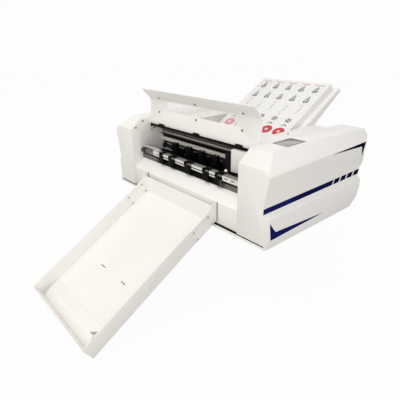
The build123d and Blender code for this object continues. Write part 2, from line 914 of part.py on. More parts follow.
cover_side_step = 2.0
cover_low_x = clamp_high_x + cover_side_step / 2
cover_high_x = carriage_high_x + cover_side_step
cover_front = 67.0
cover_rear = 106.0
cover_bottom = 148.0
cover_top = 212.5
cover_wall = 2.0
bridge_nose = clamp_rear - clamp_wall - (clamp_wall - bridge_front + clamp_rear) / 2
cover_side_front = bridge_nose - fit_gap

with BuildPart() as carriage_cover:
    with BuildSketch(Plane.YZ.offset(cover_low_x)):
        with BuildLine():
            Polyline(
                side_view([
                    (cover_front, cover_bottom),
                    (cover_front, cover_top),
                    (cover_rear, cover_top),
                    (cover_rear, carriage_top),
                    (cover_side_front, carriage_top),
                    (cover_side_front, cover_bottom),
                ]),
                close=True,
            )
        make_face()
    extrude(amount=cover_high_x - cover_low_x)
    with BuildSketch(Plane.YZ.offset(cover_low_x + cover_wall)):
        with BuildLine():
            Polyline(
                side_view([
                    (cover_front + cover_wall, cover_bottom - overrun),
                    (cover_front + cover_wall, cover_top - cover_wall),
                    (cover_rear - cover_wall, cover_top - cover_wall),
                    (cover_rear - cover_wall, carriage_top - overrun),
                    (cover_side_front + overrun, carriage_top - overrun),
                    (cover_side_front + overrun, cover_bottom - overrun),
                ]),
                close=True,
            )
        make_face()
    extrude(amount=cover_high_x - cover_low_x - 2 * cover_wall, mode=Mode.SUBTRACT)

carriage_cover.part.label = "carriage_cover"
export_step(carriage_cover.part, "parts/carriage_cover.step")

# Tool holder with the blade: it plunges onto the cutting strip

holder_collar = 2.5
holder_collar_height = 3.0
holder_cap_radius = 6.0
holder_bottom = 127.5
tip_lift = 3.6
holder_tip = sheet_path_height + tip_lift
blade_radius = 1.2
cone_radius = 3.0
plunge = 4.0
collar_low = clamp_high + plunge + fit_gap

with BuildPart() as tool_holder:
    with BuildSketch(Plane.XZ.offset(-at(blade_depth))):
        with BuildLine():
            Polyline(
                [
                    (tool_place_x, holder_tip),
                    (tool_place_x + blade_radius, holder_tip),
                    (tool_place_x + blade_radius, holder_bottom),
                    (tool_place_x + cone_radius, holder_bottom),
                    (tool_place_x + holder_radius, clamp_low + plunge),
                    (tool_place_x + holder_radius, collar_low),
                    (tool_place_x + holder_radius + holder_collar, collar_low),
                    (
                        tool_place_x + holder_radius + holder_collar,
                        collar_low + holder_collar_height,
                    ),
                    (tool_place_x + holder_cap_radius, collar_low + holder_collar_height),
                ]
            )
            RadiusArc(
                (tool_place_x + holder_cap_radius, collar_low + holder_collar_height),
                (tool_place_x, collar_low + holder_collar_height + holder_cap_radius),
                -holder_cap_radius,
            )
            Line(
                (tool_place_x, collar_low + holder_collar_height + holder_cap_radius),
                (tool_place_x, holder_tip),
            )
        make_face()
    revolve(axis=Axis((tool_place_x, at(blade_depth), 0), (0, 0, 1)))

tool_holder.part.label = "tool_holder"
export_step(tool_holder.part, "parts/tool_holder.step")

# Tool clamp knob: a fluted screw in the side of the clamp

knob_radius = 5.0
knob_length = 8.0
knob_gap = 1.0
knob_flutes = 10
flute_radius = 0.8

with BuildPart() as tool_clamp_knob:
    with BuildSketch(Plane.YZ.offset(clamp_low_x - knob_gap)):
        with Locations(side_view([(blade_depth, knob_height)])[0]):
            Circle(knob_radius)
            with PolarLocations(knob_radius, knob_flutes):
                Circle(flute_radius, mode=Mode.SUBTRACT)
    extrude(amount=-knob_length)
    with BuildSketch(Plane.YZ.offset(clamp_low_x - knob_gap)):
        with Locations(side_view([(blade_depth, knob_height)])[0]):
            Circle(knob_stem_radius)
    extrude(amount=tool_place_x - holder_radius - fit_gap - clamp_low_x + knob_gap)

tool_clamp_knob.part.label = "tool_clamp_knob"
export_step(tool_clamp_knob.part, "parts/tool_clamp_knob.step")

# Carriage belt, its two pulleys and its motor behind the beam

belt_side_gap = 30.0
belt_pulley_x = bay_half_width - belt_side_gap
belt_pulley_radius = 7.0
belt_wall = 1.2
belt_width = 6.0
belt_front = 109.0
belt_centre_height = carriage_top + belt_wall + belt_pulley_radius + fit_gap
belt_shaft_radius = 2.5
belt_flange = 1.0
belt_clear = 0.1
belt_mid = belt_front + belt_width / 2

with BuildPart() as carriage_belt:
    with BuildSketch(Plane.XZ.offset(-at(belt_front))):
        with Locations((0, belt_centre_height)):
            SlotOverall(
                2 * (belt_pulley_x + belt_pulley_radius + belt_clear + belt_wall),
                2 * (belt_pulley_radius + belt_clear + belt_wall),
            )
            SlotOverall(
                2 * (belt_pulley_x + belt_pulley_radius + belt_clear),
                2 * (belt_pulley_radius + belt_clear),
                mode=Mode.SUBTRACT,
            )
    extrude(amount=-belt_width)

carriage_belt.part.label = "carriage_belt"
export_step(carriage_belt.part, "parts/carriage_belt.step")

carriage_motor_side = 34.0
carriage_motor_length = 25.0
motor_plate_wall = 3.0
motor_plate_front = beam_depth + beam_radius + seat_gap

with BuildPart() as belt_drive_pulley:
    with BuildSketch(Plane.XZ.offset(-at(belt_front))):
        with Locations((belt_pulley_x, belt_centre_height)):
            Circle(belt_pulley_radius)
    extrude(amount=-belt_width)
    with BuildSketch(Plane.XZ.offset(-at(belt_front - belt_flange))):
        with Locations((belt_pulley_x, belt_centre_height)):
            Circle(belt_pulley_radius + belt_flange)
    extrude(amount=belt_flange)
    with BuildSketch(Plane.XZ.offset(-at(belt_front - belt_flange))):
        with Locations((belt_pulley_x, belt_centre_height)):
            Circle(belt_shaft_radius)
    extrude(amount=-(motor_plate_front + motor_plate_wall - belt_front + belt_flange))

belt_drive_pulley.part.label = "belt_drive_pulley"
export_step(belt_drive_pulley.part, "parts/belt_drive_pulley.step")

with BuildPart() as carriage_motor:
    with BuildSketch(Plane.XZ.offset(-at(motor_plate_front))):
        with Locations((belt_pulley_x, belt_centre_height)):
            Rectangle(carriage_motor_side, carriage_motor_side)
            Circle(belt_shaft_radius + running_gap, mode=Mode.SUBTRACT)
    extrude(amount=-motor_plate_wall)
    with BuildSketch(Plane.XZ.offset(-at(motor_plate_front + motor_plate_wall))):
        with Locations((belt_pulley_x, belt_centre_height)):
            RectangleRounded(carriage_motor_side, carriage_motor_side, motor_corner)
    extrude(amount=-carriage_motor_length)

carriage_motor.part.label = "carriage_motor"
export_step(carriage_motor.part, "parts/carriage_motor.step")


with BuildPart() as belt_idler_pulley:
    with BuildSketch(Plane.XZ.offset(-at(belt_front - belt_flange))):
        with Locations((-belt_pulley_x, belt_centre_height)):
            Circle(belt_pulley_radius)
    extrude(amount=-(belt_width + belt_flange))
    with BuildSketch(Plane.XZ.offset(-at(belt_front - belt_flange))):
        with Locations((-belt_pulley_x, belt_centre_height)):
            Circle(belt_pulley_radius + belt_flange)
    extrude(amount=belt_flange)
    with BuildSketch(Plane.XZ.offset(-at(belt_front))):
        with Locations((-belt_pulley_x, belt_centre_height)):
            Circle(belt_shaft_radius)
    extrude(amount=-(beam_front - belt_front))

belt_idler_pulley.part.label = "belt_idler_pulley"
export_step(belt_idler_pulley.part, "parts/belt_idler_pulley.step")

# Label pressers: bright spring plates on a bar over the exit shaft

bar_front = 49.5
bar_rear = 52.5
bar_low = 141.0
bar_high = 148.5
presser_wall = 1.0
presser_front = 31.5
presser_low = 131.0
presser_high = 146.5
presser_span_shares = (
    (-0.685, -0.55), (-0.455, -0.35), (-0.2, -0.03), (0.12, 0.31), (0.435, 0.525), (0.65, 0.97),
)
presser_spans = [
    (low_share * bay_half_width, high_share * bay_half_width)
    for low_share, high_share in presser_span_shares
]
presser_slot_length = 14.0
presser_slot_width = 3.0
presser_slots = 3
presser_path = [(presser_front, presser_low), (presser_front, presser_high),
                (bar_front, presser_high)]

with BuildPart() as label_pressers:
    with BuildSketch(Plane.YZ.offset(-bay_half_width + seat_gap)):
        with Locations(side_view([((bar_front + bar_rear) / 2, (bar_low + bar_high) / 2)])[0]):
            Rectangle(bar_rear - bar_front, bar_high - bar_low)
    extrude(amount=2 * (bay_half_width - seat_gap))
    for low_x, high_x in presser_spans:
        with BuildSketch(Plane.YZ.offset(low_x)):
            with BuildLine():
                Polyline(side_view(folded(presser_path, 0, -presser_wall)), close=True)
            make_face()
        extrude(amount=high_x - low_x)
    low_x, high_x = presser_spans[-1]
    with BuildSketch(Plane.XZ.offset(-at(presser_front) + presser_wall)):
        with Locations(((low_x + high_x) / 2, (presser_low + presser_high) / 2)):
            with GridLocations((high_x - low_x) / presser_slots, presser_wall, presser_slots, 1):
                SlotOverall(presser_slot_length, presser_slot_width)
    extrude(amount=-3 * presser_wall, mode=Mode.SUBTRACT)

label_pressers.part.label = "label_pressers"
export_step(label_pressers.part, "parts/label_pressers.step")

# Top cover behind the lid, with a wing along each side of the feed table

cover_lip = 216.0
cover_deck = 228.0
deck_front = 80.0
deck_rear = 186.0
deck_skirt = 172.0
wing_inner_x = 171.0
wing_lip = 6.0
wing_rear = body_depth - plate_rear_inset - sheet_wall
lip_rear_gap = 16.0
lip_rear = wing_rear - lip_rear_gap
deck_path = [
    (deck_front, cover_lip),
    (deck_front, cover_deck),
    (deck_rear, cover_deck),
    (deck_rear, deck_skirt),
]

with BuildPart() as top_cover:
    with BuildSketch(Plane.YZ.offset(-panel_half_width)):
        with BuildLine():
            Polyline(side_view(folded(deck_path, 0, -sheet_wall)), close=True)
        make_face()
    extrude(amount=2 * panel_half_width)
    wing_width = panel_half_width - wing_inner_x
    for side_sign in (-1, 1):
        with BuildSketch(Plane.XY.offset(cover_deck)):
            with Locations((side_sign * (wing_inner_x + wing_width / 2),
                            at((deck_rear - sheet_wall + wing_rear) / 2))):
                Rectangle(wing_width, wing_rear - deck_rear + sheet_wall)
        extrude(amount=-sheet_wall)
        with BuildSketch(Plane.XY.offset(cover_deck)):
            with Locations((side_sign * (wing_inner_x + sheet_wall / 2),
                            at((deck_rear - sheet_wall + lip_rear) / 2))):
                Rectangle(sheet_wall, lip_rear - deck_rear + sheet_wall)
        extrude(amount=-wing_lip)

top_cover.part.label = "top_cover"
export_step(top_cover.part, "parts/top_cover.step")

# Lid: a folded sheet with a window, shown open

lid_side_gap = 2.0
lid_half_width = bay_half_width - lid_side_gap
lid_wall = 2.5
lid_hem = (53.0, 340.0)
lid_brow = (84.0, 307.0)
lid_crease = (87.0, 287.0)
lid_foot = (76.0, 229.0)
lid_path = [lid_foot, lid_crease, lid_brow, lid_hem]
window_half_width = 160.0
window_low = 273.0
window_high = 305.0
window_corner = 8.0
upper_screw_inset = 59.0
lower_screw_insets = (54.0, 65.0)
middle_screws = (-5.0, -6.0)
upper_screw = (upper_screw_inset - lid_half_width, middle_screws[0], lid_half_width - upper_screw_inset)
lower_screw = (
    lower_screw_insets[0] - lid_half_width, middle_screws[1], lid_half_width - lower_screw_insets[1],
)
upper_screw_height = 313.0
lower_screw_height = 266.0

with BuildPart() as lid_panel:
    with BuildSketch(Plane.YZ.offset(-lid_half_width)):
        with BuildLine():
            Polyline(side_view(folded(lid_path, 0, -lid_wall)), close=True)
        make_face()
    extrude(amount=2 * lid_half_width)
    with BuildSketch(Plane.XZ.offset(-at(lid_foot[0]))):
        with Locations((0, (window_low + window_high) / 2)):
            RectangleRounded(2 * window_half_width, window_high - window_low, window_corner)
    extrude(amount=-(lid_crease[0] - lid_foot[0] + 2 * overrun), mode=Mode.SUBTRACT)

lid_panel.part.label = "lid_panel"
export_step(lid_panel.part, "parts/lid_panel.step")

# Lid window, clear sheet screwed to the back of the lid

window_wall = 2.0
pane_inset = 38.0
pane_half_width = lid_half_width - pane_inset
pane_low = 258.0
pane_gap = 0.05
pane_foot_share = (pane_low - lid_foot[1]) / (lid_crease[1] - lid_foot[1])
pane_foot = (
    lid_foot[0] + pane_foot_share * (lid_crease[0] - lid_foot[0]),
    pane_low,
)
pane_top_share = 0.35
pane_top = (
    lid_brow[0] + pane_top_share * (lid_hem[0] - lid_brow[0]),
    lid_brow[1] + pane_top_share * (lid_hem[1] - lid_brow[1]),
)
pane_path = [pane_foot, lid_crease, lid_brow, pane_top]

with BuildPart() as lid_window:
    with BuildSketch(Plane.YZ.offset(-pane_half_width)):
        with BuildLine():
            Polyline(
                side_view(folded(pane_path, -lid_wall - pane_gap, -lid_wall - window_wall)),
                close=True,
            )
        make_face()
    extrude(amount=2 * pane_half_width)

lid_window.part.label = "lid_window"
export_step(lid_window.part, "parts/lid_window.step")

# Lid screws: heads on the front of the lid

lid_screw_radius = 3.2
lid_screw_height = 1.6


def lid_face(start, end, height):
    """Plane on the front of one of the lid's flats, at a height on it."""
    share = (height - start[1]) / (end[1] - start[1])
    run = Vector(0, end[0] - start[0], end[1] - start[1]).normalized()
    return Plane(
        origin=(0, at(start[0] + share * (end[0] - start[0])), height),
        x_dir=(1, 0, 0),
        z_dir=(0, -run.Z, run.Y),
    )


with BuildPart() as lid_screws:
    with BuildSketch(lid_face(lid_brow, lid_hem, upper_screw_height)):
        for screw_x in upper_screw:
            with Locations((screw_x, 0)):
                Circle(lid_screw_radius)
    extrude(amount=lid_screw_height)
    with BuildSketch(lid_face(lid_foot, lid_crease, lower_screw_height)):
        for screw_x in lower_screw:
            with Locations((screw_x, 0)):
                Circle(lid_screw_radius)
    extrude(amount=lid_screw_height)

lid_screws.part.label = "lid_screws"
export_step(lid_screws.part, "parts/lid_screws.step")

# Lid hinges: a black strip on the top cover with pins, and leaves on the lid

hinge_place = (76.0, 225.0)
hinge_pin_radius = 1.5
knuckle_radius = 3.0
knuckle_width = 12.0
knuckle_gap = 0.4
hinge_strip_low = 214.0
hinge_strip_high = 222.5
hinge_strip_wall = 1.5
hinge_inset = 70.0
hinge_places = (hinge_inset - lid_half_width, 0, lid_half_width - hinge_inset)

with BuildPart() as lid_hinge_strip:
    with BuildSketch(Plane.YZ.offset(-lid_half_width)):
        with Locations(side_view([(deck_front - hinge_strip_wall / 2,
                                   (hinge_strip_low + hinge_strip_high) / 2)])[0]):
            Rectangle(hinge_strip_wall, hinge_strip_high - hinge_strip_low)
    extrude(amount=2 * lid_half_width)
    for hinge_x in hinge_places:
        for side_sign in (-1, 1):
            with BuildSketch(Plane.YZ.offset(hinge_x + side_sign * knuckle_width / 2)):
                with Locations(side_view([hinge_place])[0]):
                    Circle(knuckle_radius)
                with BuildLine():
                    Polyline(
                        side_view([
                            hinge_place,
                            (deck_front, hinge_place[1]),
                            (deck_front, hinge_strip_high - hinge_strip_wall),
                            (hinge_place[0], hinge_place[1] - knuckle_radius),
                        ]),
                        close=True,
                    )
                make_face()
            extrude(amount=side_sign * knuckle_width / 2)
        with BuildSketch(Plane.YZ.offset(hinge_x - knuckle_width)):
            with Locations(side_view([hinge_place])[0]):
                Circle(hinge_pin_radius)
        extrude(amount=2 * knuckle_width)

lid_hinge_strip.part.label = "lid_hinge_strip"
export_step(lid_hinge_strip.part, "parts/lid_hinge_strip.step")

leaf_top = 246.0
leaf_wall = 1.2
leaf_share = (leaf_top - lid_foot[1]) / (lid_crease[1] - lid_foot[1])
leaf_path = [
    lid_foot,
    (lid_foot[0] + leaf_share * (lid_crease[0] - lid_foot[0]), leaf_top),
]

with BuildPart() as lid_hinge_leaves:
    for hinge_x in hinge_places:
        with BuildSketch(Plane.YZ.offset(hinge_x - knuckle_width / 2 + knuckle_gap)):
            with BuildLine():
                Polyline(
                    side_view(folded(leaf_path, -lid_wall, -lid_wall - leaf_wall)), close=True
                )
            make_face()
            with BuildLine():
                Polyline(
                    side_view([
                        (hinge_place[0], hinge_place[1]),
                        (hinge_place[0] + knuckle_radius, hinge_place[1]),
                        moved_path(leaf_path, -lid_wall - leaf_wall)[0],
                        moved_path(leaf_path, -lid_wall)[0],
                        (lid_foot[0], lid_foot[1] - fit_gap),
                        (hinge_place[0], hinge_place[1] + knuckle_radius),
                    ]),
                    close=True,
                )
            make_face()
            with Locations(side_view([hinge_place])[0]):
                Circle(knuckle_radius)
                Circle(hinge_pin_radius + running_gap, mode=Mode.SUBTRACT)
        extrude(amount=knuckle_width - 2 * knuckle_gap)

lid_hinge_leaves.part.label = "lid_hinge_leaves"
export_step(lid_hinge_leaves.part, "parts/lid_hinge_leaves.step")

# Feed table: a folded sheet under the stack, with a stop at its foot

table_half_width = 168.0
table_length = 433.0
table_wall = 2.0
table_skirt = 14.0
table_skirt_deep = 37.0
table_deep_along = 160.0
table_top = -stack_height - fit_gap
stop_wall = 3.0
stop_height = stack_height - 2 * table_wall

with BuildPart() as feed_table:
    with BuildSketch(feed_plane.offset(table_top - table_wall)):
        with Locations((0, (table_length - stop_wall - fit_gap) / 2)):
            Rectangle(2 * table_half_width, table_length + stop_wall + fit_gap)
    extrude(amount=table_wall)
    with BuildSketch(feed_plane.offset(table_top)):
        with Locations((0, -fit_gap - stop_wall / 2)):
            Rectangle(2 * table_half_width, stop_wall)
    extrude(amount=stop_height)
    for side_sign in (-1, 1):
        side_plane = Plane(
            origin=feed_plane.from_local_coords(Vector(side_sign * table_half_width, 0, table_top)),
            x_dir=feed_plane.y_dir,
            z_dir=(side_sign, 0, 0),
        )
        drop_sign = side_plane.to_local_coords(
            side_plane.origin - feed_plane.z_dir
        ).Y
        with BuildSketch(side_plane):
            with BuildLine():
                Polyline(
                    [
                        (0, 0),
                        (table_length, 0),
                        (table_length, drop_sign * table_skirt),
                        (table_deep_along, drop_sign * table_skirt_deep),
                        (0, drop_sign * table_skirt_deep),
                    ],
                    close=True,
                )
            make_face()
        extrude(amount=-table_wall)

feed_table.part.label = "feed_table"
export_step(feed_table.part, "parts/feed_table.step")

# Table supports: cross bars between the inner plates, under the table

support_radius = 7.0
support_alongs = (40.0, 212.0)

with BuildPart() as table_supports:
    for along in support_alongs:
        bar_centre = feed_plane.from_local_coords(
            Vector(0, along, table_top - table_wall - support_radius)
        )
        with BuildSketch(Plane.YZ.offset(-bay_half_width)):
            with Locations((bar_centre.Y, bar_centre.Z)):
                Circle(support_radius)
        extrude(amount=bay_half_width - table_half_width)
        with BuildSketch(Plane.YZ.offset(table_half_width)):
            with Locations((bar_centre.Y, bar_centre.Z)):
                Circle(support_radius)
        extrude(amount=bay_half_width - table_half_width)
        with BuildSketch(Plane.YZ.offset(-table_half_width + table_wall)):
            with Locations((bar_centre.Y, bar_centre.Z)):
                Circle(support_radius)
        extrude(amount=2 * (table_half_width - table_wall))

table_supports.part.label = "table_supports"
export_step(table_supports.part, "parts/table_supports.step")

# Side guides on the table: they slide apart for a wider sheet

guide_fence = 2.5
guide_foot = 9.0
guide_foot_wall = 1.5
guide_low_along = 60.0
guide_length = 120.0
guide_shortfall = 4.0
guide_height = stack_height - guide_shortfall

for side_sign, side_name in ((-1, "left"), (1, "right")):
    fence_x = side_sign * (stack_width / 2 + fit_gap + guide_fence / 2)
    foot_x = side_sign * (stack_width / 2 + fit_gap + (guide_fence + guide_foot) / 2)
    with BuildPart() as side_guide:
        with BuildSketch(feed_plane.offset(table_top + fit_gap)):
            with Locations((fence_x, guide_low_along + guide_length / 2)):
                Rectangle(guide_fence, guide_length)
        extrude(amount=guide_height)
        with BuildSketch(feed_plane.offset(table_top + fit_gap)):
            with Locations((foot_x, guide_low_along + guide_length / 2)):
                Rectangle(guide_fence + guide_foot, guide_length)
        extrude(amount=guide_foot_wall)
    side_guide.part.label = f"{side_name}_side_guide"
    export_step(side_guide.part, f"parts/{side_name}_side_guide.step")

# Label sheets, the stack on the table

with BuildPart() as label_sheets:
    with BuildSketch(feed_plane.offset(-stack_height)):
        with Locations((0, stack_length / 2)):
            Rectangle(stack_width, stack_length)
    extrude(amount=stack_height)

label_sheets.part.label = "label_sheets"
export_step(label_sheets.part, "parts/label_sheets.step")

# Rear panel with cooling slots; its sides rise to the top cover's wings

rear_foot_inset = 3.0
rear_knee_inset = 7.0
rear_knee_height = 31.0
rear_middle_height = 196.0
rear_flange_run = 17.0
rear_foot = (base_depth - rear_foot_inset, seam_top)
rear_knee = (undercut_knee[0] - rear_knee_inset, rear_knee_height)
rear_bend = (undercut_knee[0], undercut_height)
slot_count = 14
slot_pitch = 9.0
slot_width = 3.5
slot_length = 46.0
slot_x = 120.0
slot_height = 120.0
inlet_side_gap = 67.0
inlet_x = inlet_side_gap - bay_half_width
inlet_height = 95.0
inlet_width = 48.0
inlet_tall = 28.0
switch_pitch = 50.0
switch_x = inlet_x + switch_pitch
switch_width = 13.0
switch_tall = 19.5
socket_width = 24.0
socket_tall = 16.0
rear_side_height = cover_deck - sheet_wall
rear_spans = (
    (-panel_half_width, -wing_inner_x, rear_side_height),
    (-wing_inner_x, wing_inner_x, rear_middle_height),
    (wing_inner_x, panel_half_width, rear_side_height),
)

with BuildPart() as rear_panel:
    for low_x, high_x, top_height in rear_spans:
        rear_path = [
            rear_foot, rear_knee, rear_bend,
            (rear_bend[0], top_height), (rear_bend[0] - rear_flange_run, top_height),
        ]
        with BuildSketch(Plane.YZ.offset(low_x)):
            with BuildLine():
                Polyline(side_view(folded(rear_path, 0, sheet_wall)), close=True)
            make_face()
        extrude(amount=high_x - low_x)
    with BuildSketch(Plane.XZ.offset(-at(rear_bend[0]) - overrun)):
        with Locations((slot_x, slot_height)):
            with GridLocations(slot_pitch, slot_length, slot_count, 1):
                SlotOverall(slot_length, slot_width, rotation=90)
        with Locations((inlet_x, inlet_height)):
            Rectangle(inlet_width - 2 * sheet_wall, inlet_tall - 2 * sheet_wall)
        with Locations((switch_x, inlet_height)):
            Rectangle(switch_width + 2 * sheet_wall, switch_tall + 2 * sheet_wall)
    extrude(amount=2 * overrun, mode=Mode.SUBTRACT)

rear_panel.part.label = "rear_panel"
export_step(rear_panel.part, "parts/rear_panel.step")

# Power inlet: a flanged socket with its three pins, and the housing of the rocker switch

inlet_flange = 1.6
inlet_body = 24.0
inlet_wall = 2.5
pin_width = 2.0
pin_tall = 4.0
pin_length = 12.0
pin_pitch = 7.0
switch_body = 10.0
switch_pocket = 7.0
switch_flange = 2.0
rocker_pin_radius = 1.2
rocker_side_gap = 0.4
rocker_pin_inset = 1.5
rocker_place = (rear_bend[0] - rocker_pin_inset, inlet_height)

with BuildPart() as power_inlet:
    with BuildSketch(Plane.XZ.offset(-at(rear_bend[0]))):
        with Locations((inlet_x, inlet_height)):
            Rectangle(inlet_width, inlet_tall)
        with Locations((switch_x, inlet_height)):
            Rectangle(switch_width + 4 * switch_flange, switch_tall + 4 * switch_flange)
    extrude(amount=-inlet_flange)
    with BuildSketch(Plane.XZ.offset(-at(rear_bend[0]))):
        with Locations((inlet_x, inlet_height)):
            Rectangle(
                inlet_width - 2 * sheet_wall - 2 * seat_gap,
                inlet_tall - 2 * sheet_wall - 2 * seat_gap,
            )
    extrude(amount=inlet_body)
    with BuildSketch(Plane.XZ.offset(-at(rear_bend[0]))):
        with Locations((switch_x, inlet_height)):
            Rectangle(
                switch_width + 2 * sheet_wall - 2 * seat_gap,
                switch_tall + 2 * sheet_wall - 2 * seat_gap,
            )
    extrude(amount=switch_body)
    with BuildSketch(Plane.XZ.offset(-at(rear_bend[0]) - inlet_flange)):
        with Locations((inlet_x, inlet_height)):
            Rectangle(socket_width, socket_tall)
    extrude(amount=inlet_body - inlet_wall + inlet_flange, mode=Mode.SUBTRACT)
    with BuildSketch(Plane.XZ.offset(-at(rear_bend[0]) - inlet_flange)):
        with Locations((switch_x, inlet_height)):
            Rectangle(switch_width + 2 * rocker_side_gap, switch_tall + 2 * rocker_side_gap)
    extrude(amount=switch_pocket + inlet_flange, mode=Mode.SUBTRACT)
    with BuildSketch(Plane.XZ.offset(-at(rear_bend[0]) + inlet_body - inlet_wall)):
        with Locations((inlet_x, inlet_height)):
            with GridLocations(pin_pitch, pin_pitch, 3, 1):
                Rectangle(pin_width, pin_tall)
    extrude(amount=-pin_length)
    with BuildSketch(Plane.YZ.offset(switch_x - switch_width / 2 - rocker_side_gap)):
        with Locations(side_view([rocker_place])[0]):
            Circle(rocker_pin_radius)
    extrude(amount=switch_width + 2 * rocker_side_gap)

power_inlet.part.label = "power_inlet"
export_step(power_inlet.part, "parts/power_inlet.step")

# Power switch, a rocker on a pin across its housing, shown pressed at the top

rocker_tilt = 8.0
rocker_reach = 8.4
rocker_crown = 3.6
rocker_valley = 2.0
rocker_root = 3.0

with BuildPart() as power_switch:
    with BuildSketch(Plane.YZ.offset(switch_x - switch_width / 2)):
        with Locations(Location(side_view([rocker_place])[0] + (0,), (0, 0, rocker_tilt))):
            Polygon(
                (-rocker_root, -rocker_reach),
                (rocker_crown, -rocker_reach),
                (rocker_valley, 0),
                (rocker_crown, rocker_reach),
                (-rocker_root, rocker_reach),
            )
            Circle(rocker_pin_radius + running_gap, mode=Mode.SUBTRACT)
    extrude(amount=switch_width)

power_switch.part.label = "power_switch"
export_step(power_switch.part, "parts/power_switch.step")

# Tray: a deep open box that slopes down at the front, with its rear end cut upright

tray_half_width = 168.0
tray_length = 489.5
tray_height = 46.7
tray_angle = 30.5
tray_rear = -6.0
tray_rear_height = 66.0
tray_wall = 2.0
tray_drop = math.radians(tray_angle)
tray_plane = Plane(
    origin=(0, at(tray_rear), tray_rear_height),
    x_dir=(1, 0, 0),
    z_dir=(0, -math.sin(tray_drop), math.cos(tray_drop)),
)
tray_tail = tray_height * math.tan(tray_drop)
floor_slot_along = 310.0
floor_slot_spans = ((-64.0, -40.0), (51.0, 74.0))
floor_slot_width = 3.0
tray_screw_places = ((32.0, 12.0), (32.0, 40.0), (93.0, 12.0), (93.0, 40.0))
tray_screw_radius = 2.0
screw_hole_gap = 0.1
rear_cut = Plane(origin=(0, at(tray_rear), 0), z_dir=(0, 1, 0))


def tray_point(along, drop):
    """Depth and height of a place along the tray, at a drop below its top edge."""
    return (
        tray_rear - along * math.cos(tray_drop) + drop * math.sin(tray_drop),
        tray_rear_height - along * math.sin(tray_drop) - drop * math.cos(tray_drop),
    )


def tray_block(inset):
    """The tray's outer form, with its walls and floor moved in by the inset."""
    with BuildPart() as block:
        with BuildSketch(tray_plane.offset(inset - tray_height)):
            with Locations((0, (tray_tail - tray_length) / 2)):
                Rectangle(2 * (tray_half_width - inset), tray_length + tray_tail - 2 * inset)
        extrude(amount=tray_height)
        split(bisect_by=rear_cut.offset(-inset), keep=Keep.BOTTOM)
    return block.part


tray_outside = tray_block(0)
tray_inside = tray_block(tray_wall)

with BuildPart() as tray_body:
    add(tray_outside)
    add(tray_inside, mode=Mode.SUBTRACT)
    with BuildSketch(tray_plane.offset(-tray_height - overrun)):
        for low_x, high_x in floor_slot_spans:
            with Locations(((low_x + high_x) / 2, -floor_slot_along)):
                Rectangle(high_x - low_x, floor_slot_width)
    extrude(amount=2 * overrun, mode=Mode.SUBTRACT)
    with BuildSketch(Plane.YZ.offset(-tray_half_width - overrun)):
        for along, drop in tray_screw_places:
            with Locations(side_view([tray_point(along, drop)])[0]):
                Circle(tray_screw_radius + screw_hole_gap)
    extrude(amount=2 * (tray_half_width + overrun), mode=Mode.SUBTRACT)

tray_body.part.label = "tray_body"
export_step(tray_body.part, "parts/tray_body.step")

# Tray brackets: side plates that hang the tray from the pins of its mounts

bracket_wall = 2.0
bracket_along = 101.0
bracket_rear = 1.5
bracket_top = 78.0
bracket_shoulder_along = 20.0
bracket_corner = 2.0
tray_pin_place = (-4.0, 72.0)
tray_pin_radius = 2.0
bracket_edge = 0.5
bracket_crown = tray_pin_place[0] - 2 * tray_pin_radius
bracket_low_height = (
    tray_point(0, tray_height - bracket_edge)[1]
    - (tray_point(0, tray_height - bracket_edge)[0] - bracket_rear) * math.tan(tray_drop)
)

with BuildPart() as tray_brackets:
    for side_sign in (-1, 1):
        with BuildSketch(Plane.YZ.offset(side_sign * tray_half_width)):
            with BuildLine():
                Polyline(
                    side_view([
                        (bracket_rear, bracket_low_height),
                        (bracket_rear, bracket_top - bracket_corner),
                        (bracket_rear - bracket_corner, bracket_top),
                        (bracket_crown, bracket_top),
                        tray_point(bracket_shoulder_along, bracket_edge),
                        tray_point(bracket_along, bracket_edge),
                        tray_point(bracket_along, tray_height - bracket_edge),
                    ]),
                    close=True,
                )
            make_face()
            with Locations(side_view([tray_pin_place])[0]):
                Circle(tray_pin_radius + running_gap, mode=Mode.SUBTRACT)
            for along, drop in tray_screw_places:
                with Locations(side_view([tray_point(along, drop)])[0]):
                    Circle(tray_screw_radius + screw_hole_gap, mode=Mode.SUBTRACT)
        extrude(amount=side_sign * bracket_wall)

tray_brackets.part.label = "tray_brackets"
export_step(tray_brackets.part, "parts/tray_brackets.step")

# Tray screws: button heads outside, nuts inside

tray_head_radius = 3.4
tray_head_height = 1.8
tray_nut_radius = 3.5
tray_nut_height = 2.0

with BuildPart() as tray_screws:
    for side_sign in (-1, 1):
        head_x = side_sign * (tray_half_width + bracket_wall)
        inner_x = side_sign * (tray_half_width - tray_wall)
        for along, drop in tray_screw_places:
            screw_place = side_view([tray_point(along, drop)])[0]
            with BuildSketch(Plane.YZ.offset(head_x)):
                with Locations(screw_place):
                    Circle(tray_head_radius)
            extrude(amount=side_sign * tray_head_height)
            with BuildSketch(Plane.YZ.offset(head_x)):
                with Locations(screw_place):
                    Circle(tray_screw_radius)
            extrude(amount=-side_sign * (bracket_wall + tray_wall + tray_nut_height))
            with BuildSketch(Plane.YZ.offset(inner_x)):
                with Locations(screw_place):
                    RegularPolygon(tray_nut_radius, 6)
            extrude(amount=-side_sign * tray_nut_height)

tray_screws.part.label = "tray_screws"
export_step(tray_screws.part, "parts/tray_screws.step")

# Tray end stop: a low creased ramp before the front wall

ramp_low_x = -146.0
ramp_high_x = 131.0
ramp_wall = 1.5
ramp_flange_along = 426.0
ramp_foot_along = 429.0
ramp_crease_along = 455.0
ramp_crease_drop = 33.0
ramp_top_gap = 0.4
ramp_top_drop = 40.0
tray_floor_drop = tray_height - tray_wall
ramp_path = [
    tray_point(tray_length - tray_wall - ramp_top_gap, ramp_top_drop),
    tray_point(ramp_crease_along, ramp_crease_drop),
    tray_point(ramp_foot_along, tray_floor_drop),
    tray_point(ramp_flange_along, tray_floor_drop),
]

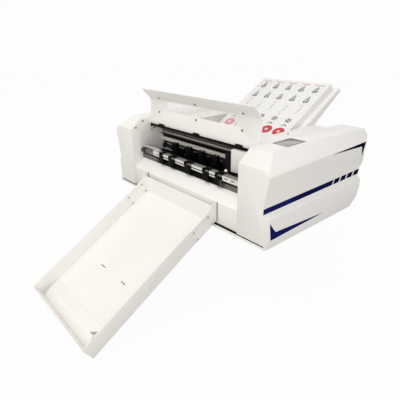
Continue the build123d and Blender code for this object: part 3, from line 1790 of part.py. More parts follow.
with BuildPart() as tray_end_stop:
    with BuildSketch(Plane.YZ.offset(ramp_low_x)):
        with BuildLine():
            Polyline(side_view(folded(ramp_path, 0, ramp_wall)), close=True)
        make_face()
    extrude(amount=ramp_high_x - ramp_low_x)

tray_end_stop.part.label = "tray_end_stop"
export_step(tray_end_stop.part, "parts/tray_end_stop.step")

# Tray mounts: black hangers on the front panel, with the pins that carry the brackets

mount_stop_gap = 0.3
mount_ear_gap = 0.4
mount_ear_wall = 3.0
mount_ear_low = 66.0
mount_ear_high = 78.0
mount_ear_front = -6.5
mount_bar_margin = 0.5
mount_bar_low_x = tray_half_width - mount_bar_margin
mount_ear_x = tray_half_width + bracket_wall + mount_ear_gap

with BuildPart() as tray_mounts:
    for side_sign in (-1, 1):
        with BuildSketch(Plane.YZ.offset(side_sign * mount_bar_low_x)):
            with BuildLine():
                Polyline(
                    side_view([
                        (panel_face, bracket_low_height),
                        (panel_face, mount_ear_low),
                        (bracket_rear + mount_stop_gap, mount_ear_low),
                        (bracket_rear + mount_stop_gap, bracket_low_height),
                    ]),
                    close=True,
                )
            make_face()
        extrude(amount=side_sign * (mount_ear_x + mount_ear_wall - mount_bar_low_x))
        with BuildSketch(Plane.YZ.offset(side_sign * mount_ear_x)):
            with BuildLine():
                Polyline(
                    side_view([
                        (panel_face, mount_ear_low - bracket_corner),
                        (panel_face, ledge_low),
                        (bracket_rear, mount_ear_high),
                        (mount_ear_front, mount_ear_high),
                        (mount_ear_front, mount_ear_low),
                        (bracket_rear, mount_ear_low - bracket_corner),
                    ]),
                    close=True,
                )
            make_face()
        extrude(amount=side_sign * mount_ear_wall)
        with BuildSketch(Plane.YZ.offset(side_sign * mount_ear_x)):
            with Locations(side_view([tray_pin_place])[0]):
                Circle(tray_pin_radius)
        extrude(amount=-side_sign * (mount_ear_gap + bracket_wall + bracket_edge))

tray_mounts.part.label = "tray_mounts"
export_step(tray_mounts.part, "parts/tray_mounts.step")
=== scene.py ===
import json
import math

import bmesh
import bpy
from mathutils import Matrix, Vector
from mathutils.bvhtree import BVHTree


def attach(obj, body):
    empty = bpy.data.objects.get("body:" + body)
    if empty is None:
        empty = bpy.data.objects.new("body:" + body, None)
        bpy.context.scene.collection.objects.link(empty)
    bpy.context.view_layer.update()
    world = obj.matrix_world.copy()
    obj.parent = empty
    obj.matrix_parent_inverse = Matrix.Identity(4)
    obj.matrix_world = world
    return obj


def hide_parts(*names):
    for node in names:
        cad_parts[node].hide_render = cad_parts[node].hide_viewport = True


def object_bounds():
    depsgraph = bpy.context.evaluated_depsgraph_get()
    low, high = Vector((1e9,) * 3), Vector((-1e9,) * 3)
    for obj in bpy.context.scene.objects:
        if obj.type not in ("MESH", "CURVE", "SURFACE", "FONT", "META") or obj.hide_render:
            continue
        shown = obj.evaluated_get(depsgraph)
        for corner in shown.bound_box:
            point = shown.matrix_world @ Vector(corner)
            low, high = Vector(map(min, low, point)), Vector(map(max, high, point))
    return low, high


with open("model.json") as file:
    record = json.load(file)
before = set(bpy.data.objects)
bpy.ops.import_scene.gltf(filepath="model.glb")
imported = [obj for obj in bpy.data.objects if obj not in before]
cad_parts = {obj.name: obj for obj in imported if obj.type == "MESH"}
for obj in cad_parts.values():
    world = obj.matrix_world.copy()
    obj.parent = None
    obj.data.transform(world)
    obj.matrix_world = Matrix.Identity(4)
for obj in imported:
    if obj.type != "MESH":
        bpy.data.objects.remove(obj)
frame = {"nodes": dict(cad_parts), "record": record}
cad_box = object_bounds()

# The machine's sizes that its trim is fitted to, in metres, as in the part's source

MM = 0.001
FRONT_Y = -0.232
GROOVE_X, GROOVE_LOW, GROOVE_HIGH = 0.340, 0.094, 0.116
TOP_HEIGHT, TOP_DRIFT = 0.242, 0.02173
LOBE_X, TOE_HEIGHT, TOE_INSET = 0.354, 0.028, 0.003
SIDES = ((1, "right"), (-1, "left"))


def at(depth):
    """Place along Y of a depth behind the pods' front faces."""
    return FRONT_Y + depth


def point(across, depth, height):
    """A point from its distances in mm: across, behind the pods' front faces, and up."""
    return Vector((across * MM, at(depth * MM), height * MM))


def tone(red, green, blue):
    """A colour given as the screen shows it, 0 to 255, as the light values that a shader takes."""
    return tuple(
        c / 12.92 if c <= 0.04045 else ((c + 0.055) / 1.055) ** 2.4
        for c in (red / 255, green / 255, blue / 255)
    )


# Shader maths


class Wire:
    """One output of a node tree. Its operators add Math nodes."""

    def __init__(self, nodes, socket):
        self.nodes = nodes
        self.socket = socket

    def maths(self, operation, *values):
        """A Math node that takes these values."""
        inputs = dict(enumerate(values))
        return self.nodes.add("ShaderNodeMath", {"operation": operation}, inputs)

    def __add__(self, other):
        return self.maths("ADD", self, other)

    __radd__ = __add__

    def __sub__(self, other):
        return self.maths("SUBTRACT", self, other)

    def __rsub__(self, other):
        return self.maths("SUBTRACT", other, self)

    def __mul__(self, other):
        return self.maths("MULTIPLY", self, other)

    __rmul__ = __mul__

    def __lt__(self, other):
        return self.maths("LESS_THAN", self, other)

    def __gt__(self, other):
        return self.maths("GREATER_THAN", self, other)

    def __or__(self, other):
        return self.maths("MAXIMUM", self, other)

    def __and__(self, other):
        return self.maths("MINIMUM", self, other)

    def __abs__(self):
        return self.maths("ABSOLUTE", self)

    def clamped(self):
        """The value held between 0 and 1."""
        return (self | 0.0) & 1.0

    def ramp(self, start, span):
        """0 up to a start, rising to 1 over a span beyond it."""
        return ((self - start) * (1 / span)).clamped()


# Numbers of sockets that share a name with another socket of their node

OBJECT_OUTPUT, FACING_OUTPUT = 3, 1
MIX_FACTOR, MIX_FIRST, MIX_SECOND, MIX_RESULT = 0, 6, 7, 2
CAMERA_RAY, GLOSSY_RAY, TRANSMISSION_RAY = 0, 3, 6


class Nodes:
    """A node tree that is built up by one method, add."""

    def __init__(self, tree):
        self.tree = tree
        tree.nodes.clear()

    def add(self, kind, settings=None, inputs=None, output=0):
        """A new node with its settings, and its inputs set or linked. Gives one of its outputs."""
        node = self.tree.nodes.new(kind)
        for name, value in (settings or {}).items():
            setattr(node, name, value)
        for name, value in (inputs or {}).items():
            if isinstance(value, Wire):
                self.tree.links.new(value.socket, node.inputs[name])
            else:
                node.inputs[name].default_value = value
        return Wire(self, node.outputs[output]) if node.outputs else node

    def place(self):
        """The point on the piece, in object coordinates."""
        return self.add("ShaderNodeTexCoord", output=OBJECT_OUTPUT)

    def along(self, vector):
        """The three parts of a vector."""
        split = self.add("ShaderNodeSeparateXYZ", None, {0: vector}).socket.node
        return [Wire(self, socket) for socket in split.outputs]

    def noise(self, vector, scale, detail=2.0, roughness=0.5):
        """Soft noise, as one number."""
        inputs = {"Vector": vector, "Scale": scale, "Detail": detail, "Roughness": roughness}
        return self.add("ShaderNodeTexNoise", None, inputs)

    def stretched(self, vector, scales):
        """A vector with each of its parts scaled."""
        return self.add("ShaderNodeMapping", None, {"Vector": vector, "Scale": scales})

    def marks(self, place, scales):
        """The marks of a tool, closer together along the axes with the larger scales."""
        return self.noise(self.stretched(place, scales), 1.0, 3.0, 0.7)

    def blend(self, share, one, other):
        """One colour turning into another."""
        inputs = {MIX_FACTOR: share, MIX_FIRST: one, MIX_SECOND: other}
        return self.add("ShaderNodeMix", {"data_type": "RGBA"}, inputs, MIX_RESULT)

    def bump(self, height, distance):
        """A normal that follows small heights."""
        inputs = {"Strength": 1.0, "Distance": distance, "Height": height}
        return self.add("ShaderNodeBump", None, inputs)


def solid(colour):
    """A colour with its alpha, as a colour socket takes it."""
    return (*colour, 1.0)


def lighter(colour, share):
    """A colour made lighter by a share of itself, or darker by a negative one."""
    return (*[min(1.0, c * (1 + share)) for c in colour], 1.0)


def shades(colour, low, high):
    """The two shades of a colour between which a material varies."""
    return lighter(colour, low), lighter(colour, high)


def varied(middle, swing, share):
    """A value that moves round its middle as a share goes from 0 to 1."""
    return middle - swing + 2 * swing * share


def finish(name, make, **constants):
    """A material on the Principled shader. make(nodes) gives the inputs that vary."""
    material = bpy.data.materials.new(name)
    material.use_nodes = True
    nodes = Nodes(material.node_tree)
    inputs = {key.replace("_", " "): value for key, value in constants.items()}
    inputs.update(make(nodes))
    shader = nodes.add("ShaderNodeBsdfPrincipled", None, inputs)
    nodes.add("ShaderNodeOutputMaterial", None, {"Surface": shader})
    return material


# Grains are cells of noise per metre, and reliefs their heights

PLASTIC_GRAIN, PLASTIC_RELIEF = 1400.0, 0.02 * MM
PAINT_GRAIN, PAINT_RELIEF = 1900.0, 0.03 * MM
BLACK_GRAIN, RUBBER_GRAIN, GLASS_GRAIN = 1500.0, 2600.0, 300.0
CLOUD_GRAIN, METAL_CLOUD_GRAIN, GRAIN_ROUGHNESS = 7.0, 25.0, 0.6
METAL_RELIEF, FINE_METAL_RELIEF = 0.012 * MM, 0.01 * MM
TONE_SPREAD, METAL_SPREAD = 0.02, 0.12
PLASTIC_SWING, METAL_SWING = 0.05, 0.08
BLACK_SPECULAR = 0.05

# How closely a tool's marks follow each other along X, Y and Z, per metre

EVEN_MARKS, ZINC_MARKS, CHROME_MARKS = (900.0,) * 3, (500.0,) * 3, (300.0,) * 3
SHAFT_MARKS, PULLEY_MARKS = (2500.0, 60.0, 60.0), (700.0, 700.0, 90.0)
RAIL_MARKS, PLATE_MARKS = (20.0, 1500.0, 1500.0), (30.0, 30.0, 900.0)
GUIDE_MARKS, BEAM_MARKS = (60.0, 900.0, 900.0), (12.0, 900.0, 900.0)


def moulded(colour, roughness, grain, relief):
    """Moulded plastic or powder paint: a fine grain, and slow changes of tone and gloss."""

    def make(nodes):
        place = nodes.place()
        slow = nodes.noise(place, CLOUD_GRAIN)
        fine = nodes.noise(place, grain, roughness=GRAIN_ROUGHNESS)
        return {
            "Base Color": nodes.blend(slow, *shades(colour, -TONE_SPREAD, TONE_SPREAD)),
            "Roughness": varied(roughness, PLASTIC_SWING, slow),
            "Normal": nodes.bump(fine, relief),
        }

    return make


def turned(colour, roughness, scales, relief=METAL_RELIEF, spread=METAL_SPREAD):
    """Machined metal: marks that run one way, with small changes of gloss."""

    def make(nodes):
        place = nodes.place()
        marks = nodes.marks(place, scales)
        slow = nodes.noise(place, METAL_CLOUD_GRAIN)
        return {
            "Base Color": nodes.blend(0.6 * marks + 0.4 * slow, *shades(colour, -spread, spread)),
            "Roughness": varied(roughness, METAL_SWING, marks),
            "Normal": nodes.bump(marks, relief),
        }

    return make


def plastic(name, colour, roughness, grain=PLASTIC_GRAIN, relief=PLASTIC_RELIEF, **constants):
    """A moulded, painted or glazed finish, and the grey of a painted shade patch."""
    return finish(name, moulded(colour, roughness, grain, relief), **constants)


def black(name, colour, roughness, grain, relief=PLASTIC_RELIEF):
    """A black finish that shines less than plastic does by itself."""
    return plastic(name, colour, roughness, grain, relief, Specular_IOR_Level=BLACK_SPECULAR)


def metal(name, colour, roughness, scales, metallic=1.0):
    """A machined, ground or plated finish."""
    return finish(name, turned(colour, roughness, scales), Metallic=metallic)


WHITE_PLASTIC = tone(245, 243, 239)
WHITE_PAINT = tone(247, 245, 241)
COVER_WHITE = tone(236, 232, 227)
STRIP_WHITE = tone(228, 226, 220)
PAPER = tone(244, 243, 241)
# Painted reflection: the pale colour laid over the window by the clear pane
PANE_REFLECTION_WHITE = tone(240, 238, 232)
NAVY = tone(26, 32, 98)
DEEP_NAVY = tone(11, 9, 26)
RUBBER_BLACK = tone(20, 20, 22)
BLACK = tone(19, 18, 18)
DEEP_BLACK = tone(13, 12, 12)
# Greys of the painted light on the comb's ends
LIT_END_DARK, LIT_END_LIGHT = tone(104, 101, 97), tone(128, 124, 119)
FRAME_GREY = tone(126, 125, 119)
# Grey of the painted shade in the end stop's hollow
GLASS_GREY = tone(158, 157, 150)
HOLLOW_SHADE_GREY = tone(172, 169, 164)
BRIGHT_PLATE = tone(232, 229, 223)
# Painted highlight: the rail's near-white matt tone stands for the light its steel reflects
RAIL_PAINTED_HIGHLIGHT = tone(243, 236, 226)
STEEL = tone(176, 176, 175)
DARK_STEEL = tone(118, 117, 116)
# Painted glints: pale tones for the springs and screws, so they show as bright dots
SPRING_PAINTED_GLINT = tone(206, 204, 200)
ZINC, ZINC_PAINTED_GLINT = tone(120, 116, 110), tone(205, 202, 197)
CHROME = tone(215, 215, 216)
BRONZE = tone(74, 62, 50)

FEED_SLOPE = math.radians(30)
SHEET_LINES, FIBRE_GRAIN, SHEET_RELIEF = 2600.0, 900.0, 0.05 * MM


def paper_edges(nodes):
    """Label paper: smooth on the face, and the sheets' edges as fine lines along the stack."""
    place = nodes.place()
    _, back, up = nodes.along(place)
    height = math.cos(FEED_SLOPE) * up - math.sin(FEED_SLOPE) * back
    lines = {"W": height, "Scale": SHEET_LINES, "Detail": 1.0}
    layers = nodes.add("ShaderNodeTexNoise", {"noise_dimensions": "1D"}, lines)
    fibres = nodes.noise(place, FIBRE_GRAIN)
    return {
        "Base Color": nodes.blend(layers, *shades(PAPER, -0.1, 0.02)),
        "Normal": nodes.bump(0.8 * layers + 0.2 * fibres, SHEET_RELIEF),
    }


NAVY_FADE = 0.46
FILM_WAVES, FILM_GRAIN, FILM_RELIEF = (1.0, 9.0, 9.0), 500.0, 0.004 * MM


def navy_film_tones(nodes):
    """Glossy film: navy at the front, nearly black toward the rear, uneven as a gloss print is."""
    place = nodes.place()
    _, back, _ = nodes.along(place)
    slow = nodes.noise(nodes.stretched(place, FILM_WAVES), 1.0, 1.0)
    fine = nodes.noise(place, FILM_GRAIN)
    near = (1.0 - (back - FRONT_Y) * (1 / NAVY_FADE)).clamped()
    share = (near * (2.4 * slow - 0.25)).clamped()
    return {
        "Base Color": nodes.blend(share, solid(DEEP_NAVY), solid(NAVY)),
        "Roughness": 0.36 + 0.08 * fine,
        "Normal": nodes.bump(fine, FILM_RELIEF),
    }


PLATE_FACE_Y, PLATE_BACK_Y, PLATE_TOP = -0.1985, -0.1835, 0.1455
PLATE_GROOVE_LOW, PLATE_GROOVE_HIGH, PLATE_GROOVE_END_X = 0.1352, 0.1385, 0.155
PRESSER_END_X, PRESSER_END_FADE = -0.145, 0.02
BAR_END_SHARE, FOLD_SHARE = 0.85, 0.28


def presser_tones(nodes):
    """Black bar, greyer on the folded tops and turning bright toward its left end. Each plate is
    bright in front, with a dark line of painted shade for a groove.
    """
    place = nodes.place()
    across, back, up = nodes.along(place)
    in_front = back < PLATE_FACE_Y
    # Painted shade: a dark line across each plate where a groove would be shaded
    groove = (up > PLATE_GROOVE_LOW) & (up < PLATE_GROOVE_HIGH) & (across < PLATE_GROOVE_END_X)
    bright = in_front & (up < PLATE_TOP) & (1.0 - groove)
    top = (back < PLATE_BACK_Y) & (up > PLATE_TOP)
    end = ((PRESSER_END_X - across) * (1 / PRESSER_END_FADE)).clamped()
    marks = nodes.marks(place, PLATE_MARKS)
    plate = nodes.blend(marks, *shades(BRIGHT_PLATE, -0.12, 0.04))
    bar = nodes.blend(end * BAR_END_SHARE, solid(DEEP_BLACK), plate)
    bar = nodes.blend(top * FOLD_SHARE, bar, plate)
    return {
        "Base Color": nodes.blend(bright, bar, plate),
        "Metallic": 0.3 * bright,
        "Roughness": 0.5 - 0.12 * bright + 0.1 * marks,
        "Normal": nodes.bump(marks, FINE_METAL_RELIEF),
    }


GUIDE_END_X, GUIDE_END_FADE, GUIDE_END_TOP = 0.148, 0.025, 0.130


def guide_tones(nodes):
    """Black comb whose lower front turns grey toward both ends, as painted light."""
    place = nodes.place()
    across, _, up = nodes.along(place)
    # Painted light: the lower front is grey toward both ends
    painted_light_ends = abs(across).ramp(GUIDE_END_X, GUIDE_END_FADE) * (up < GUIDE_END_TOP)
    marks = nodes.marks(place, GUIDE_MARKS)
    grey = nodes.blend(marks, solid(LIT_END_DARK), solid(LIT_END_LIGHT))
    return {
        "Base Color": nodes.blend(painted_light_ends, solid(DEEP_BLACK), grey),
        "Roughness": 0.5 + 0.1 * marks,
        "Normal": nodes.bump(marks, PLASTIC_RELIEF),
    }


BEAM_SHOULDER_LOW, BEAM_SHOULDER_HIGH = 0.180, 0.185


def beam_tones(nodes):
    """Black anodised beam with a painted highlight: its rounded top is coloured light grey."""
    place = nodes.place()
    marks = nodes.marks(place, BEAM_MARKS)
    _, _, up = nodes.along(place)
    # Painted highlight: the rounded top turns light grey over the black
    painted_highlight = up.ramp(BEAM_SHOULDER_LOW, BEAM_SHOULDER_HIGH - BEAM_SHOULDER_LOW)
    grey = nodes.blend(marks, *shades(RAIL_PAINTED_HIGHLIGHT, -0.52, -0.38))
    return {
        "Base Color": nodes.blend(painted_highlight, solid(DEEP_BLACK), grey),
        "Metallic": 0.2 * painted_highlight,
        "Roughness": 0.4 + 0.12 * marks,
        "Normal": nodes.bump(marks, FINE_METAL_RELIEF),
    }


RING_LOW_X, RING_HIGH_X = 0.2288, 0.2388


def ringed_shaft(nodes):
    """Ground steel shaft with a black rubber ring near each end."""
    place = nodes.place()
    across, _, _ = nodes.along(place)
    reach = abs(across)
    rubber = (reach > RING_LOW_X) & (reach < RING_HIGH_X)
    marks = nodes.marks(place, SHAFT_MARKS)
    steel = nodes.blend(marks, *shades(DARK_STEEL, -METAL_SPREAD, METAL_SPREAD))
    return {
        "Base Color": nodes.blend(rubber, steel, solid(DEEP_BLACK)),
        "Metallic": 1.0 - rubber,
        "Roughness": 0.24 + 0.5 * rubber + 0.12 * marks,
        "Normal": nodes.bump(marks, METAL_RELIEF),
    }


PANEL_GAP_SHADE_Y = -0.2300


def mount_tones(nodes):
    """White painted hangers with a black strip against the panel, painted shade of the gap there.
    """
    place = nodes.place()
    _, back, _ = nodes.along(place)
    # Painted shade: the black strip against the panel stands for the shaded gap there
    rubber = back > PANEL_GAP_SHADE_Y
    fine = nodes.noise(place, PAINT_GRAIN, roughness=GRAIN_ROUGHNESS)
    return {
        "Base Color": nodes.blend(rubber, solid(WHITE_PAINT), solid(DEEP_BLACK)),
        "Roughness": 0.4 + 0.3 * rubber + 0.06 * fine,
        "Normal": nodes.bump(fine, PAINT_RELIEF),
    }


TOOTH_PITCH, TOOTH_RELIEF = 2.0 * MM, 0.6 * MM


def toothed_belt(nodes):
    """Black rubber with teeth across the belt."""
    place = nodes.place()
    across, _, _ = nodes.along(place)
    tooth = across.maths("PINGPONG", across, TOOTH_PITCH / 2)
    height = (tooth * (2 / TOOTH_PITCH) - 0.25) | 0.0
    grain = nodes.noise(place, RUBBER_GRAIN)
    return {
        "Base Color": nodes.blend(height, *shades(RUBBER_BLACK, -0.4, 0.6)),
        "Roughness": 0.75 + 0.1 * grain,
        "Normal": nodes.bump(height & 0.5, TOOTH_RELIEF),
    }


REFLECTION_GRAIN, SLANT_BLEND = 12.0, 0.35


def clear_pane(nodes):
    """Thin clear acrylic: almost nothing where seen squarely, more of its pale colour at a slant,
    as a painted reflection in slow patches.
    """
    slant = nodes.add("ShaderNodeLayerWeight", None, {"Blend": SLANT_BLEND}, FACING_OUTPUT)
    # Painted reflection: slow patches of the pane's pale colour
    reflection_patches = nodes.noise(nodes.place(), REFLECTION_GRAIN)
    return {"Alpha": 0.06 + 0.05 * reflection_patches + 0.45 * slant}


# The finish of each record slot, and of the nodes that need one of their own

FINISHES = {
    "pod_white": plastic("pod_white_plastic", WHITE_PLASTIC, 0.38),
    "white_paint": plastic("white_powder_paint", WHITE_PAINT, 0.42, PAINT_GRAIN, PAINT_RELIEF),
    "cover_white": plastic("cover_white_plastic", COVER_WHITE, 0.45),
    "black_rubber": black("black_foam_rubber", RUBBER_BLACK, 0.85, RUBBER_GRAIN),
    "screw_steel": metal("dull_zinc", ZINC, 0.42, ZINC_MARKS),
    "screen_frame": plastic("screen_frame_grey", FRAME_GREY, 0.5),
    "screen_glass": plastic("screen_grey_glass", GLASS_GREY, 0.12, GLASS_GRAIN, 0.0),
    "black_metal": black("black_powder_paint", BLACK, 0.5, PAINT_GRAIN, PAINT_RELIEF),
    "black_plastic": black("black_plastic", BLACK, 0.5, BLACK_GRAIN),
    "arm_black": black("arm_black_plastic", DEEP_BLACK, 0.42, BLACK_GRAIN),
    "wheel_rubber": black("wheel_rubber", RUBBER_BLACK, 0.7, RUBBER_GRAIN),
    "clear_sheet": finish(
        "clear_acrylic", clear_pane, Base_Color=solid(PANE_REFLECTION_WHITE), Roughness=0.04, IOR=1.49
    ),
    "beam_aluminium": finish("anodised_beam", beam_tones, Specular_IOR_Level=0.1),
    # The rail is a painted highlight, near-white and not metallic
    "bright_steel": metal("rail_steel_painted_highlight", RAIL_PAINTED_HIGHLIGHT, 0.35, RAIL_MARKS, 0.0),
    "shaft_steel": metal("ground_shaft_steel", DARK_STEEL, 0.3, SHAFT_MARKS),
    "roller_steel": metal("turned_roller_steel", DARK_STEEL, 0.32, SHAFT_MARKS),
    "bearing_bronze": metal("sintered_bronze", BRONZE, 0.45, EVEN_MARKS),
    "strip_plastic": plastic("cutting_strip_plastic", STRIP_WHITE, 0.5),
    "belt_rubber": finish("toothed_belt_rubber", toothed_belt, Specular_IOR_Level=BLACK_SPECULAR),
    "motor_metal": black("motor_black_paint", BLACK, 0.45, PAINT_GRAIN),
    "pulley_metal": metal("turned_pulley", STEEL, 0.3, PULLEY_MARKS),
    "chrome": finish(
        "polished_chrome", turned(CHROME, 0.1, CHROME_MARKS, 0.0, TONE_SPREAD), Metallic=1.0
    ),
    "paper": finish("label_paper", paper_edges, Roughness=0.42),
    "navy_film": finish("navy_film", navy_film_tones, Specular_IOR_Level=0.0),
}

OWN_FINISHES = {
    "exit_guide": finish("black_comb_painted_light_ends", guide_tones, Specular_IOR_Level=BLACK_SPECULAR),
    "label_pressers": finish("presser_bar_and_plates", presser_tones, Specular_IOR_Level=0.2),
    "lift_shaft": metal("black_oxide_steel", DEEP_BLACK, 0.35, SHAFT_MARKS, 0.0),
    "exit_shaft": finish("ringed_shaft_steel", ringed_shaft),
    # Painted shade along the hangers' edge against the panel
    "tray_mounts": finish("hanger_paint_and_gap_shade", mount_tones),
    # Painted glint: a pale zinc for the tray's and the arms' screws
    "tray_screws": metal("zinc_painted_glint", ZINC_PAINTED_GLINT, 0.35, ZINC_MARKS, 0.35),
}

NODE_SLOT = {part["node"]: part["material_slot"] for part in frame["record"]["subparts"]}
for node, slot in NODE_SLOT.items():
    for material_slot in frame["nodes"][node].material_slots:
        material_slot.material = OWN_FINISHES.get(node, FINISHES[slot])

# Making pieces from meshes

WELD_GAP, FLAT_ANGLE = 2e-6, math.radians(0.5)
SHARP_ANGLE, SMOOTH_ANGLE = math.radians(25), math.radians(35)


def placed(name, data):
    """A new object in the scene that carries this mesh, lamp or camera."""
    made = bpy.data.objects.new(name, data)
    bpy.context.scene.collection.objects.link(made)
    return made


def to_piece(bm, name, body, slot, material=None):
    """The finished bmesh as an object at the origin that rides on a body."""
    mesh = bpy.data.meshes.new(name)
    bm.normal_update()
    for face in bm.faces:
        face.smooth = True
    bm.to_mesh(mesh)
    bm.free()
    mesh.set_sharp_from_angle(angle=SMOOTH_ANGLE)
    piece = placed(name, mesh)
    mesh.materials.append(material or FINISHES[slot])
    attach(piece, body)
    return piece


def body_of(node):
    """The body that a node belongs to."""
    return next(b for b, nodes in frame["record"]["behaviour"]["bodies"].items() if node in nodes)


def clean_copy(node):
    """A node's mesh with its triangles joined again into whole flat faces."""
    bm = bmesh.new()
    bm.from_mesh(frame["nodes"][node].data)
    bmesh.ops.remove_doubles(bm, verts=bm.verts, dist=WELD_GAP)
    bmesh.ops.dissolve_limit(
        bm, angle_limit=FLAT_ANGLE, verts=bm.verts, edges=bm.edges, delimit=set()
    )
    return bm


def rounded(bm, edges, width, segments=2):
    """Rounds some edges of a mesh."""
    bmesh.ops.bevel(
        bm, geom=edges, offset=width, offset_type="OFFSET", affect="EDGES",
        segments=segments, profile=0.5, material=-1, clamp_overlap=True,
    )


def thickened(bm, step):
    """Flat faces become closed thin solids that reach one step away."""
    grown = bmesh.ops.extrude_face_region(bm, geom=bm.faces[:])["geom"]
    moved = [g for g in grown if isinstance(g, bmesh.types.BMVert)]
    bmesh.ops.translate(bm, verts=moved, vec=step)


def faced_outward(bm):
    """Turns the faces of closed shapes outward."""
    bmesh.ops.recalc_face_normals(bm, faces=bm.faces)


def laid_on(bm, surface, height):
    """Flat shapes at the origin become marks of this height on a surface."""
    thickened(bm, (0, 0, height))
    bmesh.ops.transform(bm, matrix=surface, verts=bm.verts)
    faced_outward(bm)


BOX_EDGE = 0.1 * MM


def soft_box(bm, middle, sizes, segments):
    """A box with rounded edges, from its middle and its sizes in mm."""
    place = Matrix.Translation(Vector(middle) * MM) @ Matrix.Diagonal((*(Vector(sizes) * MM), 1))
    corners = bmesh.ops.create_cube(bm, size=1.0, matrix=place)["verts"]
    rims = {edge for corner in corners for edge in corner.link_edges}
    rounded(bm, list(rims), BOX_EDGE, segments)


# Rounded edges on the sheet metal and the mouldings, with their radii in mm

ROUNDINGS = {
    "left_pod_shell": 2.4, "right_pod_shell": 2.4, "lid_panel": 0.8, "front_panel": 0.8,
    "top_cover": 0.8, "rear_panel": 0.6, "tray_body": 0.7, "tray_brackets": 0.5,
    "tray_end_stop": 0.7, "feed_table": 0.7, "base_plate": 0.8, "carriage_cover": 1.5,
    "left_inner_plate": 0.5, "right_inner_plate": 0.5, "screen_bezel": 0.4,
    "carriage": 0.8, "exit_guide": 0.4, "platen": 0.5, "left_side_guide": 0.5,
    "right_side_guide": 0.5, "tray_mounts": 0.4, "power_inlet": 0.5, "power_switch": 0.5,
    "label_sheets": 0.3, "carriage_motor": 1.2, "media_motor": 1.2, "lid_window": 0.3,
    "label_pressers": 0.15, "touch_screen": 0.3, "linear_rail": 0.5, "guide_beam": 0.6,
    **{f"pinch_arm_{i}": 0.8 for i in range(1, 6)},
}
CARRIAGE_NOSE_Y = at(54.2 * MM)


def softened(node, radius):
    """A copy of a node's mesh with its sharp edges rounded, standing for the node."""
    bm = clean_copy(node)
    if node == "carriage":
        # the clamp's nose stops a little short of the rings on the exit shaft
        for vert in bm.verts:
            vert.co.y = max(vert.co.y, CARRIAGE_NOSE_Y)
    sharp = [
        edge for edge in bm.edges
        if len(edge.link_faces) == 2 and edge.calc_face_angle(0.0) > SHARP_ANGLE
    ]
    rounded(bm, sharp, radius)
    piece = to_piece(
        bm, node + "_rounded", body_of(node), NODE_SLOT[node], OWN_FINISHES.get(node)
    )
    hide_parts(node)


for node, radius in ROUNDINGS.items():
    softened(node, radius * MM)

# Screws with a sunk drive in their heads: radius and height of each head in mm

SCREW_HEADS = {"lid_screws": (3.2, 1.6), "shell_screws": (3.0, 1.4), "tray_screws": (3.4, 1.8)}
DRIVE_SHARE, DRIVE_SINK_SHARE, HEAD_EDGE = 0.5, 0.55, 0.35 * MM
CAP_AREA_SHARES, FEWEST_CAP_CORNERS = (0.85, 1.05), 9
DRIVE_CORNER = math.radians(60)


def round_caps(bm, radius):
    """The flat round faces of about this radius."""
    low, high = (share * math.pi * radius ** 2 for share in CAP_AREA_SHARES)
    many_sided = [face for face in bm.faces if len(face.verts) >= FEWEST_CAP_CORNERS]
    return [face for face in many_sided if low < face.calc_area() < high]


def with_drives(node, radius, height):
    """A copy of a node's screws whose heads have rounded rims and a six-sided sunk drive."""
    bm = clean_copy(node)
    rims = {edge for cap in round_caps(bm, radius) for edge in cap.edges}
    rounded(bm, list(rims), HEAD_EDGE)
    for cap in round_caps(bm, radius - HEAD_EDGE):
        normal, centre = cap.normal.copy(), cap.calc_center_median()
        bmesh.ops.inset_individual(
            bm, faces=[cap], thickness=(1 - DRIVE_SHARE) * radius - HEAD_EDGE,
            use_even_offset=True,
        )
        across = normal.orthogonal().normalized()
        up = normal.cross(across)
        for vert in cap.verts:
            arm = vert.co - centre
            turn = math.atan2(arm.dot(up), arm.dot(across)) % DRIVE_CORNER
            vert.co = centre + arm * math.cos(DRIVE_CORNER / 2) / math.cos(turn - DRIVE_CORNER / 2)
        sunk = bmesh.ops.extrude_discrete_faces(bm, faces=[cap])["faces"][0]
        bmesh.ops.translate(bm, verts=sunk.verts[:], vec=-normal * DRIVE_SINK_SHARE * height)
    piece = to_piece(
        bm, node + "_with_drives", body_of(node), NODE_SLOT[node], OWN_FINISHES.get(node)
    )
    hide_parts(node)


for node, (radius, height) in SCREW_HEADS.items():
    with_drives(node, radius * MM, height * MM)

# Springs and screws on the pinch arms, in mm

ARM_PLACES = (-130, -58, 4, 70, 118)
SPRING_OFFSET, SPRING_DEPTH, SPRING_LOW, SPRING_HIGH = 6.5, 103.4, 141.3, 157.0
SPRING_RADIUS, SPRING_TURNS, TURN_STEPS = 1.8, 5, 10
WIRE_RADIUS, WIRE_SIDES = 0.42, 6
ARM_SCREW_OFFSET, ARM_SCREW_DEPTH, ARM_BLOCK_TOP = 6, 94.0, 171.0
ARM_SCREW_RADIUS, ARM_SCREW_HEIGHT = 3.2, 0.7
BUTTON_SIDES, BUTTON_RIM, BUTTON_LAND_SHARE = 18, 0.3, 0.35
# Its pale tone is a painted glint
SPRING_STEEL_GLINT = metal("spring_steel_painted_glint", SPRING_PAINTED_GLINT, 0.25, EVEN_MARKS, 0.3)


def coil(bm, foot):
    """A wound spring that stands upright round its foot."""
    start = foot + Vector((SPRING_RADIUS * MM, 0, 0))
    place = Matrix.Translation(start) @ Matrix.Rotation(math.radians(90), 4, "X")
    made = bmesh.ops.create_circle(
        bm, cap_ends=True, segments=WIRE_SIDES, radius=WIRE_RADIUS * MM, matrix=place
    )
    wire = made["verts"][0].link_faces[0]
    steps = SPRING_TURNS * TURN_STEPS
    bmesh.ops.spin(
        bm, geom=[wire, *wire.edges, *wire.verts], cent=foot, axis=(0, 0, 1),
        dvec=(0, 0, (SPRING_HIGH - SPRING_LOW) * MM / steps),
        angle=math.radians(360 * SPRING_TURNS), steps=steps,
        use_merge=False, use_duplicate=False,
    )


